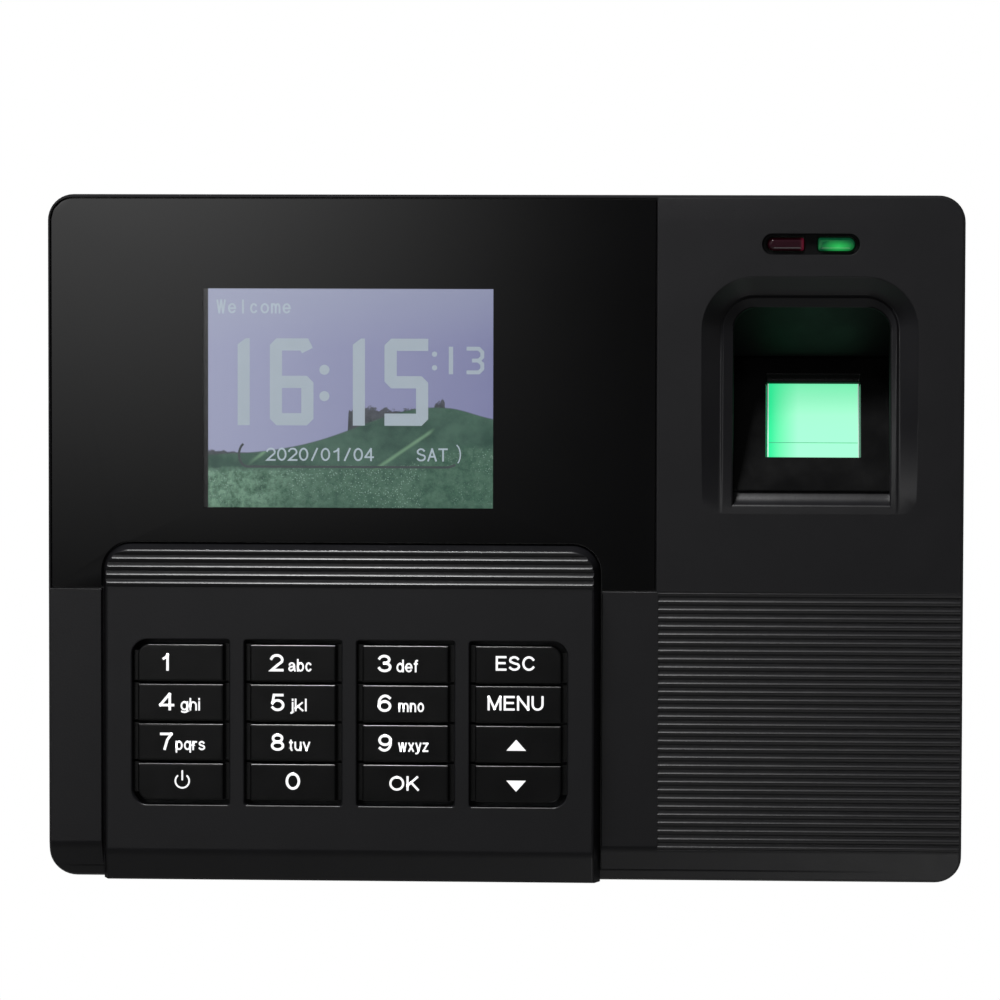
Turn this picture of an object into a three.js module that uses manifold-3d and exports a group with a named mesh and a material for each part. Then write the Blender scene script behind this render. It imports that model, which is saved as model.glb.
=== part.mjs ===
// A wall-mounted fingerprint time terminal in millimetres: +X right, +Z up, the front faces -Y.
// The origin is the centre of the wall bracket's back face, so y = 0 is the wall.
import * as THREE from "three";
import { mergeVertices } from "three/addons/utils/BufferGeometryUtils.js";
import Module from "manifold-3d";

const wasm = await Module();
wasm.setup();

// ---------- driving dimensions ----------
const WIDTH = 182;
const HEIGHT = 136.5;
const CORNER_R = 5.2;
const FACE_Y = -32;
const PARTING_Y = -16;
const BACK_Y = -0.3;
const GAP = 0.3;
const WALL = 2.2;
const FRONT_EDGE = 0.8;
const BACK_EDGE = 1.6;
const ARC_STEPS = 2;
const ROUND_SIDES = 12;
const FINE_SIDES = 16;
const WELD = 1e-4;
const BEYOND = 5;

// Lower chamfer that runs the whole width of the face.
const CHAMFER_Z = -61.6;
const CHAMFER_DEPTH = 3.2;

// Glossy window over the display, and the ledge that it and the keypad panel sit on.
const SEAM_X = 30.3;
const SEAM_Z = -9.95;
const WINDOW_INSET = 0.9;
const LEDGE_Y = -30;
const LEDGE_BACK_Y = -28;
const SEAT_CAVITY_STEP = 0.2;

// Display: picture area of a 2.8 inch 4:3 panel and its module.
const PICTURE = { left: -60, right: -2.1, bottom: 6, top: 49.6 };
const GLASS_BORDER = 1.1;
const MODULE_BORDER_X = 5.6;
const MODULE_BORDER_Z = 3.2;

// Raised keypad panel.
const PANEL_Y = -36.4;
const PANEL_CREST_Y = -36.7;
const PANEL = { left: -79.9, right: 19.3, top: -1 };
const PANEL_R = 5.6;
const PANEL_DRAFT = 1;
const PANEL_PLATE = 2.2;
const PANEL_SKIRT = 2.4;
const PANEL_CHAMFER_Z = -62.4;
const PANEL_CRESTS = [-2.5, -3.95, -5.57, -7.19, -8.81];
const PANEL_FLAT_Z = -9.75;
const PANEL_HOLLOW_LIFT = 1.4;

// Keys: four columns in four wells, four keys in each.
const KEY_X = [-63.87, -41.49, -19.11, 3.27];
const KEY_TOP_Z = -20.9;
const KEY_PITCH = 7.9;
const KEY_WIDTH = 17.1;
const KEY_HEIGHT = 7.4;
const KEY_Y = -36.45;
const KEY_BACK_Y = -33.1;
const KEY_EDGE = 0.45;
const KEY_CORNER_R = 2.2;
const FLANGE_FRONT_Y = -33.9;
const FLANGE_WIDTH = 20.8;
const STEM_END_Y = -31;
const STEM_R = 1.6;
const WELL_WIDTH = 19.4;
const WELL_TOP_Z = -20;
const WELL_BOTTOM_Z = -52.9;
const WELL_R = 3;
const WELL_MARGIN = { x: 1.5, z: 1, corner: 1.5 };
const KEY_NAMES = [
  ["key_1", "key_4", "key_7", "key_power"],
  ["key_2", "key_5", "key_8", "key_0"],
  ["key_3", "key_6", "key_9", "key_ok"],
  ["key_esc", "key_menu", "key_up", "key_down"],
];

// Rubber keypad and its board.
const SHEET_FRONT_Y = -29;
const DOME_TOP_Y = -30.7;
const DOME_BASE_R = 3.4;
const DOME_TOP_R = 2;
const DOME_SIDES = 8;
const KEYPAD_BOARD_Y = [-27.7, -26.5];
const KEYPAD_BOARD_MARGIN = { x: 3, bottom: 2, top: 3, corner: 2 };
const KEYPAD_SCREW_X = [-78.6, 18];
const KEYPAD_SCREW_Z = -36.5;
const KEYPAD_SCREW_TIP_Y = -29.3;
const KEYPAD_CABLE = { x: -20, width: 14, route: [[-26.2, -30], [-20, -32], [-12, -30], [-8.5, -28]] };
const LCD_CABLE = { x: -20, width: 22, route: [[-24.4, 14], [-19, 10], [-12, 12], [-8.5, 9]] };
const CABLE_THICK = 0.4;

// Fluted field below the finger rest: sharp crests with shallow concave flutes between them.
const FIELD_FLUTES = 31;
const FIELD_EDGE_Z = -10.07;
const FIELD_TOP_Z = -10.61;
const FIELD_END_Z = -62.1;
const FLUTE_PITCH = 1.63;
const FLUTE_DEPTH = 0.36;
const FLUTE_STEPS = 4;
const CREST_LIFT = 0.03;

// Finger rest: a funnel, a pocket and a slanted cover over the reader.
const REST_X = 60.5;
const FUNNEL_HALF = 21.3;
const FUNNEL_TOP_Z = 52.15;
const FUNNEL_R = 10.4;
const FUNNEL_BAND = 3.9;
const FUNNEL_DEPTH = 3;
const FUNNEL_END_Z = 5;
const FUNNEL_BACKING = 1.6;
const POCKET_X = 60.9;
const POCKET_HALF = 15.45;
const POCKET_TOP_Z = 46;
const POCKET_R = 4.6;
const CEILING_Z = 36.2;
const CEILING_Y = -17;
const LIP_Z = 6;
const LIP_RISE = 5.6;
const SLEEVE_WALL = 2;
const TILT = THREE.MathUtils.degToRad(27.4);
const COVER_X = REST_X;
const COVER_Z = 23.4;
const COVER_Y = -23.1;
const COVER_THICK = 2;
const COVER_HALF = { x: 23, bottom: -13, top: 15.5 };
const READER_SHIFT = { x: 0.8, z: 0.55 };
const READER_WIDTH = 18.4;
const READER_HEIGHT = 16.7;
const PRISM_DEPTHS = { front: 0.9, side: 2.4, ridge: 7.6 };
const PRISM_RIDGE_HALF = 1;
const READER_BODY = { half: 12, bottom: -11, top: 10, front: 2.6, back: 9.6, floor: 8 };
const READER_ROOM_HALF_Z = 8.4;
const READER_LENS_R = 3;
const READER_BOARD = { half: 11, bottom: -9, top: 8, thick: 1.2 };
const READER_CABLE = { x: REST_X, width: 10, route: [[-17.3, 9.4], [-13, 4.5], [-8.5, 3.5]] };
const SENSOR_SCREW_X = 19.6;
const SENSOR_SCREW_Z = 0;
const SENSOR_SCREW_TIP = -4;
const BOSS_HALF = { x: 3, z: 3.5 };
const BOSS_HOLE_DEPTH = 6;

// Indicator slot with two light guides.
const LED_X = 60.6;
const LED_Z = 58.6;
const LED_SLOT = { width: 19.2, height: 4.15, depth: 1 };
const LED_BOARD = { half: 13, rise: 4, front: -26.1, back: -25 };
const LED_CHIP = { half: 1.4, rise: 1, front: -27 };
const LENS_WIDTH = 7.2;
const LENS_HEIGHT = 2.6;
const LENS_INNER_R = 0.5;
const LENS_FRONT_STEP = 0.4;
const LENS_EDGE = 0.3;
const LENS_OFFSET = 5;
const LENS_BACK_Y = -27.4;
const LENS_FLAT = 0.15;

// Main board and what it carries.
const BOARD_Y = [-8.2, -6.6];
const BOARD = { left: -50, right: 80, bottom: -45, top: 45 };
const BOARD_TONGUE = { left: 17, right: 66, bottom: -64 };
const BOARD_SCREWS = [
  [-46, 41],
  [76, 41],
  [76, -41],
  [-46, -41],
];
const PROCESSOR = { x: 12, z: 10, width: 16, height: 16, thick: 1.4 };
const MEMORY_CHIP = { x: 12, z: -12, width: 12, height: 8, thick: 1 };
const CELL = { x: 42, z: -24, r: 10, thick: 3.2, cupWall: 1.8, rim: 0.4, floor: 1 };
const USB_X = 30;
const USB = { width: 13.3, height: 5.9, depth: 14, wall: 0.4, centreY: -11.5, inset: 0.5 };
const DC_X = 54;
const DC = { width: 9, depth: 14, front: -17, hole: 3.2, holeDepth: 10, pin: 1, centreY: -11.8 };
const SOCKET_RIM = 0.6;

// Case screws, from the back into pillars of the front housing.
const CASE_SCREW_X = 84;
const CASE_SCREW_Z = 59;
const PILLAR_R = 3.6;
const PILLAR_SKIN = 7;
const COLUMN_R = 4.4;
const CASE_SCREW_HOLE_R = 1.8;
const CASE_HEAD_HOLE_R = 3.2;
const CASE_SEAT_Y = -5.7;
const CASE_SCREW_TIP_Y = -23.6;

// Pan-head screws: radius of shank and head, and the head's height.
const SCREWS = {
  keypad: { shank: 1, head: 2, height: 1.3 },
  cover: { shank: 1, head: 2.2, height: 1.6 },
  board: { shank: 1.1, head: 2.5, height: 1.7 },
  case: { shank: 1.1, head: 2.7, height: 2 },
  bracket: { shank: 1.4, head: 2.7, height: 1.8 },
};
const SCREW_DOME = { inset: 0.8, rise: 0.5 };
const SCREW_POINT = 0.5;
const SCREW_SIDES = 8;
const THREAD_HOLE_R = 1.4;
const BOARD_HOLE_R = 1.6;
const BOARD_POST_R = 3;
const BOARD_SCREW_TIP_Y = -2.9;

// Loudspeaker behind slots in the back.
const SPEAKER_X = -68;
const SPEAKER_Z = -34;
const SPEAKER_R = 13;
const SPEAKER_SLOTS = 5;
const SPEAKER_SLOT_PITCH = 3.4;
const SPEAKER_SLOT_WIDTH = 1.4;
const SPEAKER_MAGNET = { r: 7, front: -10.4, back: -7.7 };
const SPEAKER_FRAME = [[13, -2.8], [11.4, -2.8], [11.4, -4], [9, -6.6], [5, -6.6], [5, -7.4], [10, -7.4],
  [13, -4.2], [13, -2.8]];
const SPEAKER_CONE = [[0, -6.1], [3, -6.1], [9.6, -4.4], [11, -4], [11, -3.6], [9.4, -3.9], [3, -5.6],
  [0, -5.2]];

// Steel wall bracket in a recess of the back, with two hooks and a locking tab.
const BRACKET = { half: 45, bottom: -20, top: 32, thick: 1.2, corner: 3 };
const RECESS_Y = -1.8;
const RECESS_GAP = 0.6;
const TONGUE_HALF = 9;
const TAB_Z = -60;
const TAB_DEPTH = 9.5;
const TAB_POCKET_Y = -10.6;
const TAB_POCKET = { below: 3, above: 5 };
const LOCK_Y = -6;
const LOCK_HOLE_R = 1.7;
const LOCK_HEAD_HOLE = { r: 3, depth: 2.4 };
const LOCK_TIP = 3.5;
const HOOK_X = 30;
const HOOK_Z = 14;
const HOOK_WIDTH = 12;
const HOOK_RISE = 4;
const WALL_HOLE_R = 2.2;
const WALL_HOLES = [
  [-30, 0],
  [30, 0],
  [0, 24],
  [0, -12],
];

// ---------- materials ----------
function paint(color, roughness, metalness = 0) {
  return new THREE.MeshStandardMaterial({ color, roughness, metalness });
}

const matteBlack = () => paint(0x242426, 0.6);
const glossBlack = () => paint(0x0c0c0e, 0.08);
const keyBlack = () => paint(0x161618, 0.45);
const steel = () => paint(0xb4b7ba, 0.35, 1);
const boardGreen = () => paint(0x1d5a35, 0.5);
const chipBlack = () => paint(0x1b1b1d, 0.55);
const filmAmber = () => paint(0xb0722a, 0.4);
const rubberGrey = () => paint(0x6c6e70, 0.85);

// ---------- shapes and solids ----------
// A rectangle with its corners rounded; radii run top left, top right, bottom right, bottom left.
function roundedRect(left, bottom, right, top, radii) {
  const [tl, tr, br, bl] = Array.isArray(radii) ? radii : [radii, radii, radii, radii];
  const shape = new THREE.Shape();
  const quarter = Math.PI / 2;
  shape.moveTo(left, bottom + bl);
  shape.lineTo(left, top - tl);
  if (tl) shape.absarc(left + tl, top - tl, tl, Math.PI, quarter, true);
  shape.lineTo(right - tr, top);
  if (tr) shape.absarc(right - tr, top - tr, tr, quarter, 0, true);
  shape.lineTo(right, bottom + br);
  if (br) shape.absarc(right - br, bottom + br, br, 0, -quarter, true);
  shape.lineTo(left + bl, bottom);
  if (bl) shape.absarc(left + bl, bottom + bl, bl, -quarter, -Math.PI, true);
  return shape;
}

function polygon(points) {
  return new THREE.Shape(points.map(([x, y]) => new THREE.Vector2(x, y)));
}

// An x-z outline made solid from y = front to y = back; bevel slopes both ends inwards.
function frontToBack(shape, front, back, bevel = 0, bevelDepth = bevel) {
  const geometry = new THREE.ExtrudeGeometry(shape, {
    depth: back - front - 2 * bevelDepth,
    bevelEnabled: bevel > 0,
    bevelSize: bevel,
    bevelThickness: bevelDepth,
    bevelOffset: -bevel,
    bevelSegments: 1,
    curveSegments: ARC_STEPS,
  });
  return geometry.rotateX(Math.PI / 2).translate(0, back - bevelDepth, 0);
}

// A y-z outline made solid from x = left to x = right.
function leftToRight(points, left, right) {
  const geometry = new THREE.ExtrudeGeometry(polygon(points), {
    depth: right - left,
    bevelEnabled: false,
  });
  const turn = new THREE.Matrix4().makeBasis(
    new THREE.Vector3(0, 1, 0),
    new THREE.Vector3(0, 0, 1),
    new THREE.Vector3(1, 0, 0),
  );
  return geometry.applyMatrix4(turn).translate(left, 0, 0);
}

function box(x0, x1, y0, y1, z0, z1) {
  const geometry = new THREE.BoxGeometry(x1 - x0, y1 - y0, z1 - z0);
  return geometry.translate((x0 + x1) / 2, (y0 + y1) / 2, (z0 + z1) / 2);
}

// A round bar along y; frontR and backR are its radii at the two ends.
function roundBar(x, z, frontR, backR, front, back, sides = ROUND_SIDES) {
  const geometry = new THREE.CylinderGeometry(backR, frontR, back - front, sides);
  return geometry.translate(x, (front + back) / 2, z);
}

// A solid of revolution about a y-parallel axis; points are [radius, y], from axis to axis.
function turned(points, x, z, sides = ROUND_SIDES) {
  const profile = points.map(([r, y]) => new THREE.Vector2(r, y));
  return new THREE.LatheGeometry(profile, sides).translate(x, 0, z);
}

// Half outline of a pan-head screw along its axis, from tip to seat and over the head.
function screwProfile({ shank, head, height }, tip, seat) {
  const way = Math.sign(seat - tip);
  const top = seat + way * height;
  const points = [
    [0, tip],
    [shank, tip + way * SCREW_POINT],
    [shank, seat],
    [head, seat],
    [head, top - way * SCREW_DOME.rise],
    [head - SCREW_DOME.inset, top],
    [0, top],
  ];
  return way > 0 ? points : points.reverse();
}

function solid(geometry) {
  const bare = geometry.clone();
  bare.deleteAttribute("normal");
  bare.deleteAttribute("uv");
  const merged = mergeVertices(bare, WELD);
  return new wasm.Manifold(
    new wasm.Mesh({
      numProp: 3,
      vertProperties: merged.attributes.position.array,
      triVerts: new Uint32Array(merged.index.array),
    }),
  );
}

function join(...geometries) {
  return geometries.map(asSolid).reduce((whole, piece) => whole.add(piece));
}

function cut(from, ...tools) {
  return tools.map(asSolid).reduce((left, tool) => left.subtract(tool), asSolid(from));
}

function asSolid(made) {
  return made.isBufferGeometry ? solid(made) : made;
}

function named(name, made, material) {
  let geometry = made;
  if (!made.isBufferGeometry) {
    const { vertProperties, triVerts } = made.getMesh();
    geometry = new THREE.BufferGeometry();
    geometry.setAttribute("position", new THREE.BufferAttribute(vertProperties, 3));
    geometry.setIndex(new THREE.BufferAttribute(triVerts, 1));
    geometry.computeVertexNormals();
  }
  const mesh = new THREE.Mesh(geometry, material);
  mesh.name = name;
  return mesh;
}

// A comb whose teeth are shallow arcs, for cutting concave flutes between crests at given heights.
// The tail continues its outline below the last crest.
function fluteCutter(crests, faceY, left, right, tail = []) {
  const outline = [[faceY - 1, crests[0]]];
  for (let i = 0; i + 1 < crests.length; i += 1) {
    const span = crests[i] - crests[i + 1];
    const deep = FLUTE_DEPTH * Math.min(1, span / FLUTE_PITCH);
    for (let k = 0; k < FLUTE_STEPS; k += 1) {
      const share = k / FLUTE_STEPS;
      outline.push([
        faceY + 4 * deep * share * (1 - share) - CREST_LIFT,
        crests[i] - share * span,
      ]);
    }
  }
  outline.push([faceY - CREST_LIFT, crests.at(-1)], ...tail);
  outline.push([faceY - 1, outline.at(-1)[1]]);
  return leftToRight(outline, left, right);
}

function fieldCrests() {
  const crests = [FIELD_EDGE_Z];
  for (let i = 0; i <= FIELD_FLUTES; i += 1) {
    crests.push(FIELD_TOP_Z - i * FLUTE_PITCH);
  }
  return [...crests, FIELD_END_Z];
}

// The wedge that takes the lower edge of the face back; offset moves it inwards for the wall.
function chamferWedge(faceY, startZ, offset = 0) {
  const slope = CHAMFER_DEPTH / (CHAMFER_Z + HEIGHT / 2);
  const low = -HEIGHT / 2 - BEYOND;
  const lowY = faceY + offset + slope * (startZ - low);
  const outline = [
    [faceY - BEYOND, startZ],
    [faceY + offset, startZ],
    [lowY, low],
    [faceY - BEYOND, low],
  ];
  return leftToRight(outline, -WIDTH, WIDTH);
}

// ---------- front housing ----------
// Height of the reader cover's slanted plane: the y of its front side at a given z.
function slantY(z) {
  return COVER_Y + (z - COVER_Z) * Math.tan(TILT);
}

function windowOutline(gap) {
  const left = -WIDTH / 2 + WINDOW_INSET - gap;
  const top = HEIGHT / 2 - WINDOW_INSET + gap;
  const cornerR = CORNER_R - WINDOW_INSET + gap;
  return roundedRect(left, SEAM_Z - gap, SEAM_X - GAP + gap, top, [cornerR, 0, 0, 0]);
}

function panelFootprint(gap) {
  const low = -HEIGHT / 2 - BEYOND;
  const radii = [PANEL_R + gap, PANEL_R + gap, 0, 0];
  return roundedRect(PANEL.left - gap, low, PANEL.right + gap, PANEL.top + gap, radii);
}

function keypadOpening(gap) {
  const half = WELL_WIDTH / 2 + WELL_MARGIN.x - gap;
  const low = WELL_BOTTOM_Z - WELL_MARGIN.z + gap;
  const high = WELL_TOP_Z + WELL_MARGIN.z - gap;
  return roundedRect(KEY_X[0] - half, low, KEY_X.at(-1) + half, high, WELL_MARGIN.corner);
}

function pictureOutline(border) {
  const { left, right, bottom, top } = PICTURE;
  return roundedRect(left - border, bottom - border, right + border, top + border, 0);
}

// Inverted-U funnel whose depth runs out to nothing at its lower end.
function funnelCutter() {
  const low = FUNNEL_END_Z;
  const left = REST_X - FUNNEL_HALF;
  const right = REST_X + FUNNEL_HALF;
  const radii = [FUNNEL_R, FUNNEL_R, 0, 0];
  const outline = roundedRect(left, low - FUNNEL_BAND, right, FUNNEL_TOP_Z, radii);
  const geometry = frontToBack(
    outline, FACE_Y - FUNNEL_DEPTH, FACE_Y + FUNNEL_DEPTH, FUNNEL_BAND, FUNNEL_DEPTH - 0.01);
  const place = geometry.attributes.position;
  for (let i = 0; i < place.count; i += 1) {
    const share = Math.min(1, Math.max(0, (place.getZ(i) - low) / (POCKET_TOP_Z - low)));
    const depth = place.getY(i) - FACE_Y;
    place.setY(i, FACE_Y + depth * (depth > 0 ? share : 1));
  }
  return geometry;
}

// Side walls, ceiling and lip of the finger pocket, ending at the slanted cover.
function pocketSleeve() {
  const top = POCKET_TOP_Z + SLEEVE_WALL;
  const backZ = CEILING_Z + SLEEVE_WALL;
  const outline = [
    [FACE_Y + 1, top],
    [FACE_Y + FUNNEL_DEPTH + FUNNEL_BACKING, top],
    [slantY(backZ), backZ],
    [slantY(LIP_Z + LIP_RISE), LIP_Z + LIP_RISE],
    [FACE_Y + 1, LIP_Z - SLEEVE_WALL],
  ];
  const half = POCKET_HALF + SLEEVE_WALL;
  return leftToRight(outline, POCKET_X - half, POCKET_X + half);
}

function pocketCutter() {
  const outline = [
    [FACE_Y - BEYOND, POCKET_TOP_Z],
    [FACE_Y + FUNNEL_DEPTH, POCKET_TOP_Z],
    [CEILING_Y, CEILING_Z],
    [slantY(CEILING_Z) + 1, CEILING_Z],
    [slantY(LIP_Z + LIP_RISE) + 1, LIP_Z + LIP_RISE],
    [slantY(LIP_Z + LIP_RISE), LIP_Z + LIP_RISE],
    [slantY(LIP_Z + LIP_RISE / 2), LIP_Z + LIP_RISE / 2],
    [FACE_Y + 0.25, LIP_Z + 1],
    [FACE_Y, LIP_Z],
    [FACE_Y - BEYOND, LIP_Z],
  ];
  const corners = [POCKET_R, POCKET_R, 0, 0];
  const sides = roundedRect(
    POCKET_X - POCKET_HALF, LIP_Z - 1, POCKET_X + POCKET_HALF, POCKET_TOP_Z, corners);
  const column = solid(frontToBack(sides, FACE_Y - BEYOND, PARTING_Y));
  return solid(leftToRight(outline, 0, WIDTH)).intersect(column);
}

// Bosses on both sides of the pocket for the screws that hold the cover.
function coverBosses() {
  const z0 = COVER_Z - BOSS_HALF.z;
  const z1 = COVER_Z + BOSS_HALF.z;
  const outline = [
    [FACE_Y + 1, z1],
    [slantY(z1), z1],
    [slantY(z0), z0],
    [FACE_Y + 1, z0],
  ];
  return [-1, 1].map((side) => {
    const x = REST_X + side * SENSOR_SCREW_X;
    return leftToRight(outline, x - BOSS_HALF.x, x + BOSS_HALF.x);
  });
}

// A screw hole square to the slanted cover.
function coverScrewHole(side) {
  const radius = SCREWS.cover.shank + GAP;
  const bar = roundBar(0, SENSOR_SCREW_Z, radius, radius, -BOSS_HOLE_DEPTH, 1, SCREW_SIDES);
  return bar.rotateX(-TILT).translate(COVER_X + side * SENSOR_SCREW_X, COVER_Y, COVER_Z);
}

// Extra material behind the deep end of the funnel.
function funnelBacking() {
  const reach = FUNNEL_HALF - FUNNEL_BAND + SLEEVE_WALL;
  const top = FUNNEL_TOP_Z - FUNNEL_BAND + SLEEVE_WALL;
  const back = FACE_Y + FUNNEL_DEPTH + FUNNEL_BACKING;
  return box(REST_X - reach, REST_X + reach, FACE_Y + 1, back, LIP_Z + 10, top);
}

function housingCavity() {
  const inset = (edge) => edge - WALL;
  const outline = roundedRect(
    -inset(WIDTH / 2), -inset(HEIGHT / 2), inset(WIDTH / 2), inset(HEIGHT / 2), CORNER_R - WALL);
  const whole = frontToBack(outline, FACE_Y + WALL + SEAT_CAVITY_STEP, PARTING_Y + BEYOND);
  const thickFace = box(-WIDTH / 2, SEAM_X + WALL, FACE_Y, LEDGE_BACK_Y, -HEIGHT / 2, HEIGHT / 2);
  return cut(whole, chamferWedge(FACE_Y, CHAMFER_Z + 1, WALL), thickFace);
}

function pillars(front, back, radius) {
  return [-1, 1].flatMap((x) =>
    [-1, 1].map((z) =>
      roundBar(x * CASE_SCREW_X, z * CASE_SCREW_Z, radius, radius, front, back)));
}

function lensOutline(side, gap) {
  const round = LENS_HEIGHT / 2 + gap - LENS_FLAT;
  const centre = LED_X + side * LENS_OFFSET;
  const half = LENS_WIDTH / 2 + gap;
  const inner = LENS_INNER_R;
  const radii = side < 0 ? [round, inner, inner, round] : [inner, round, round, inner];
  const rise = LENS_HEIGHT / 2 + gap;
  return roundedRect(centre - half, LED_Z - rise, centre + half, LED_Z + rise, radii);
}

function ledCuts() {
  const { width, height, depth } = LED_SLOT;
  const outline = roundedRect(
    LED_X - width / 2, LED_Z - height / 2, LED_X + width / 2, LED_Z + height / 2,
    height / 2 - LENS_FLAT);
  const slot = frontToBack(outline, FACE_Y - 1, FACE_Y + depth);
  const holes = [-1, 1].map((side) =>
    frontToBack(lensOutline(side, GAP), FACE_Y - 1, FACE_Y + BEYOND));
  return [slot, ...holes];
}

function frontHousing() {
  const outline = roundedRect(-WIDTH / 2, -HEIGHT / 2, WIDTH / 2, HEIGHT / 2, CORNER_R);
  const block = frontToBack(outline, FACE_Y, PARTING_Y + BEYOND, FRONT_EDGE);
  const behind = box(-WIDTH, WIDTH, PARTING_Y - GAP, 0, -HEIGHT, HEIGHT);
  const shell = cut(block, housingCavity());
  const filled = cut(
    join(
      shell, pocketSleeve(), funnelBacking(), ...coverBosses(),
      ...pillars(FACE_Y + 2, PARTING_Y, PILLAR_R)),
    behind, chamferWedge(FACE_Y, CHAMFER_Z));
  return cut(
    filled,
    frontToBack(windowOutline(GAP), FACE_Y - 1, LEDGE_Y),
    frontToBack(panelFootprint(GAP), FACE_Y - 1, LEDGE_Y),
    frontToBack(pictureOutline(GLASS_BORDER + GAP), FACE_Y, LEDGE_BACK_Y + 1),
    frontToBack(keypadOpening(0), FACE_Y, LEDGE_BACK_Y + 1),
    fluteCutter(fieldCrests(), FACE_Y, SEAM_X + 0.4, WIDTH / 2 + 1),
    funnelCutter(),
    pocketCutter(),
    ...ledCuts(),
    ...[-1, 1].map(coverScrewHole),
    ...keypadScrewHoles(SCREWS.keypad.shank + GAP),
    ...pillars(FACE_Y + PILLAR_SKIN, PARTING_Y, THREAD_HOLE_R),
  );
}

// ---------- window, keypad panel and keys ----------
function windowPanel() {
  const notch = panelFootprint(GAP);
  return cut(
    frontToBack(windowOutline(0), FACE_Y, LEDGE_Y - GAP),
    frontToBack(notch, FACE_Y - 1, LEDGE_Y + 1));
}

function keypadPanel() {
  const low = -HEIGHT / 2;
  const { left, right, top } = PANEL;
  const rise = LEDGE_Y - GAP - PANEL_CREST_Y;
  const outline = roundedRect(left, low - PANEL_DRAFT, right, top, [PANEL_R, PANEL_R, 0, 0]);
  const block = frontToBack(
    outline, PANEL_CREST_Y, LEDGE_Y - GAP + rise + BEYOND, PANEL_DRAFT, rise);
  const below = box(-WIDTH, WIDTH, PANEL_CREST_Y - 1, BEYOND, low - BEYOND, low);
  const hollow = roundedRect(
    left + PANEL_SKIRT, CHAMFER_Z + PANEL_HOLLOW_LIFT, right - PANEL_SKIRT, top - PANEL_SKIRT,
    [PANEL_R - PANEL_SKIRT, PANEL_R - PANEL_SKIRT, 0, 0]);
  const flat = [[PANEL_Y, PANEL_FLAT_Z], [PANEL_Y, low - BEYOND]];
  return cut(
    block,
    spaceBehindPanel(),
    below,
    chamferWedge(PANEL_Y, PANEL_CHAMFER_Z),
    frontToBack(hollow, PANEL_Y + PANEL_PLATE, 0),
    ...KEY_X.map(keyWell),
    fluteCutter(PANEL_CRESTS, PANEL_CREST_Y, left - 1, right + 1, flat),
  );
}

// What lies behind the panel: the housing's ledge, and below it the housing's own chamfer.
function spaceBehindPanel() {
  const slope = CHAMFER_DEPTH / (CHAMFER_Z + HEIGHT / 2);
  const back = LEDGE_Y - GAP;
  const low = -HEIGHT / 2 - BEYOND;
  const startZ = CHAMFER_Z + (FACE_Y - LEDGE_Y) / slope;
  const outline = [
    [back, HEIGHT],
    [back, startZ],
    [back + slope * (startZ - low), low],
    [BEYOND * 2, low],
    [BEYOND * 2, HEIGHT],
  ];
  return leftToRight(outline, -WIDTH, WIDTH);
}

// Radii of a well or key whose outer corners alone are rounded.
function outerRadii(column, radius, atTop, atBottom) {
  const leftR = column === 0 ? radius : 0;
  const rightR = column === KEY_X.length - 1 ? radius : 0;
  return [atTop * leftR, atTop * rightR, atBottom * rightR, atBottom * leftR];
}

function keyWell(x, column) {
  const half = WELL_WIDTH / 2;
  const radii = outerRadii(column, WELL_R, 1, 1);
  const outline = roundedRect(x - half, WELL_BOTTOM_Z, x + half, WELL_TOP_Z, radii);
  return frontToBack(outline, PANEL_Y - 1, PANEL_Y + PANEL_PLATE + 1);
}

function keyCap(column, row) {
  const x = KEY_X[column];
  const top = KEY_TOP_Z - row * KEY_PITCH;
  const bottom = top - KEY_HEIGHT;
  const half = KEY_WIDTH / 2;
  const radii = outerRadii(column, KEY_CORNER_R, Number(row === 0), Number(row === 3));
  const outline = roundedRect(x - half, bottom, x + half, top, radii);
  const cap = cut(
    frontToBack(outline, KEY_Y, KEY_BACK_Y + BEYOND, KEY_EDGE),
    box(-WIDTH, WIDTH, KEY_BACK_Y, BEYOND, -HEIGHT, HEIGHT));
  const flange = FLANGE_WIDTH / 2;
  const wings = box(x - flange, x + flange, FLANGE_FRONT_Y, KEY_BACK_Y, bottom + 1, top - 1);
  const middle = (top + bottom) / 2;
  const stem = roundBar(x, middle, STEM_R, STEM_R, KEY_BACK_Y - 1, STEM_END_Y, DOME_SIDES);
  return join(cap, wings, stem);
}

function keypadMembrane() {
  const sheet = frontToBack(keypadOpening(GAP), SHEET_FRONT_Y, LEDGE_BACK_Y);
  const domes = KEY_X.flatMap((x) =>
    KEY_NAMES[0].map((_, row) => {
      const z = KEY_TOP_Z - row * KEY_PITCH - KEY_HEIGHT / 2;
      const buried = SHEET_FRONT_Y + 0.5;
      return roundBar(x, z, DOME_TOP_R, DOME_BASE_R, DOME_TOP_Y, buried, DOME_SIDES);
    }));
  return join(sheet, ...domes);
}

function keypadBoard() {
  const [front, back] = KEYPAD_BOARD_Y;
  const { x, bottom, top, corner } = KEYPAD_BOARD_MARGIN;
  const [left, right] = KEYPAD_SCREW_X;
  const outline = roundedRect(
    left - x, WELL_BOTTOM_Z - bottom, right + x, WELL_TOP_Z + top, corner);
  return cut(frontToBack(outline, front, back), ...keypadScrewHoles(THREAD_HOLE_R));
}

function keypadScrewHoles(radius) {
  return KEYPAD_SCREW_X.map((x) =>
    roundBar(
      x, KEYPAD_SCREW_Z, radius, radius, KEYPAD_SCREW_TIP_Y - GAP, LEDGE_BACK_Y + BEYOND,
      SCREW_SIDES));
}

function keypadScrew(x) {
  const profile = screwProfile(SCREWS.keypad, KEYPAD_SCREW_TIP_Y, KEYPAD_BOARD_Y[1] + GAP);
  return turned(profile, x, KEYPAD_SCREW_Z, SCREW_SIDES);
}

// ---------- display ----------
function displayGlass() {
  return frontToBack(pictureOutline(GLASS_BORDER), LEDGE_Y + GAP, LEDGE_BACK_Y - 0.1);
}

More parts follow.
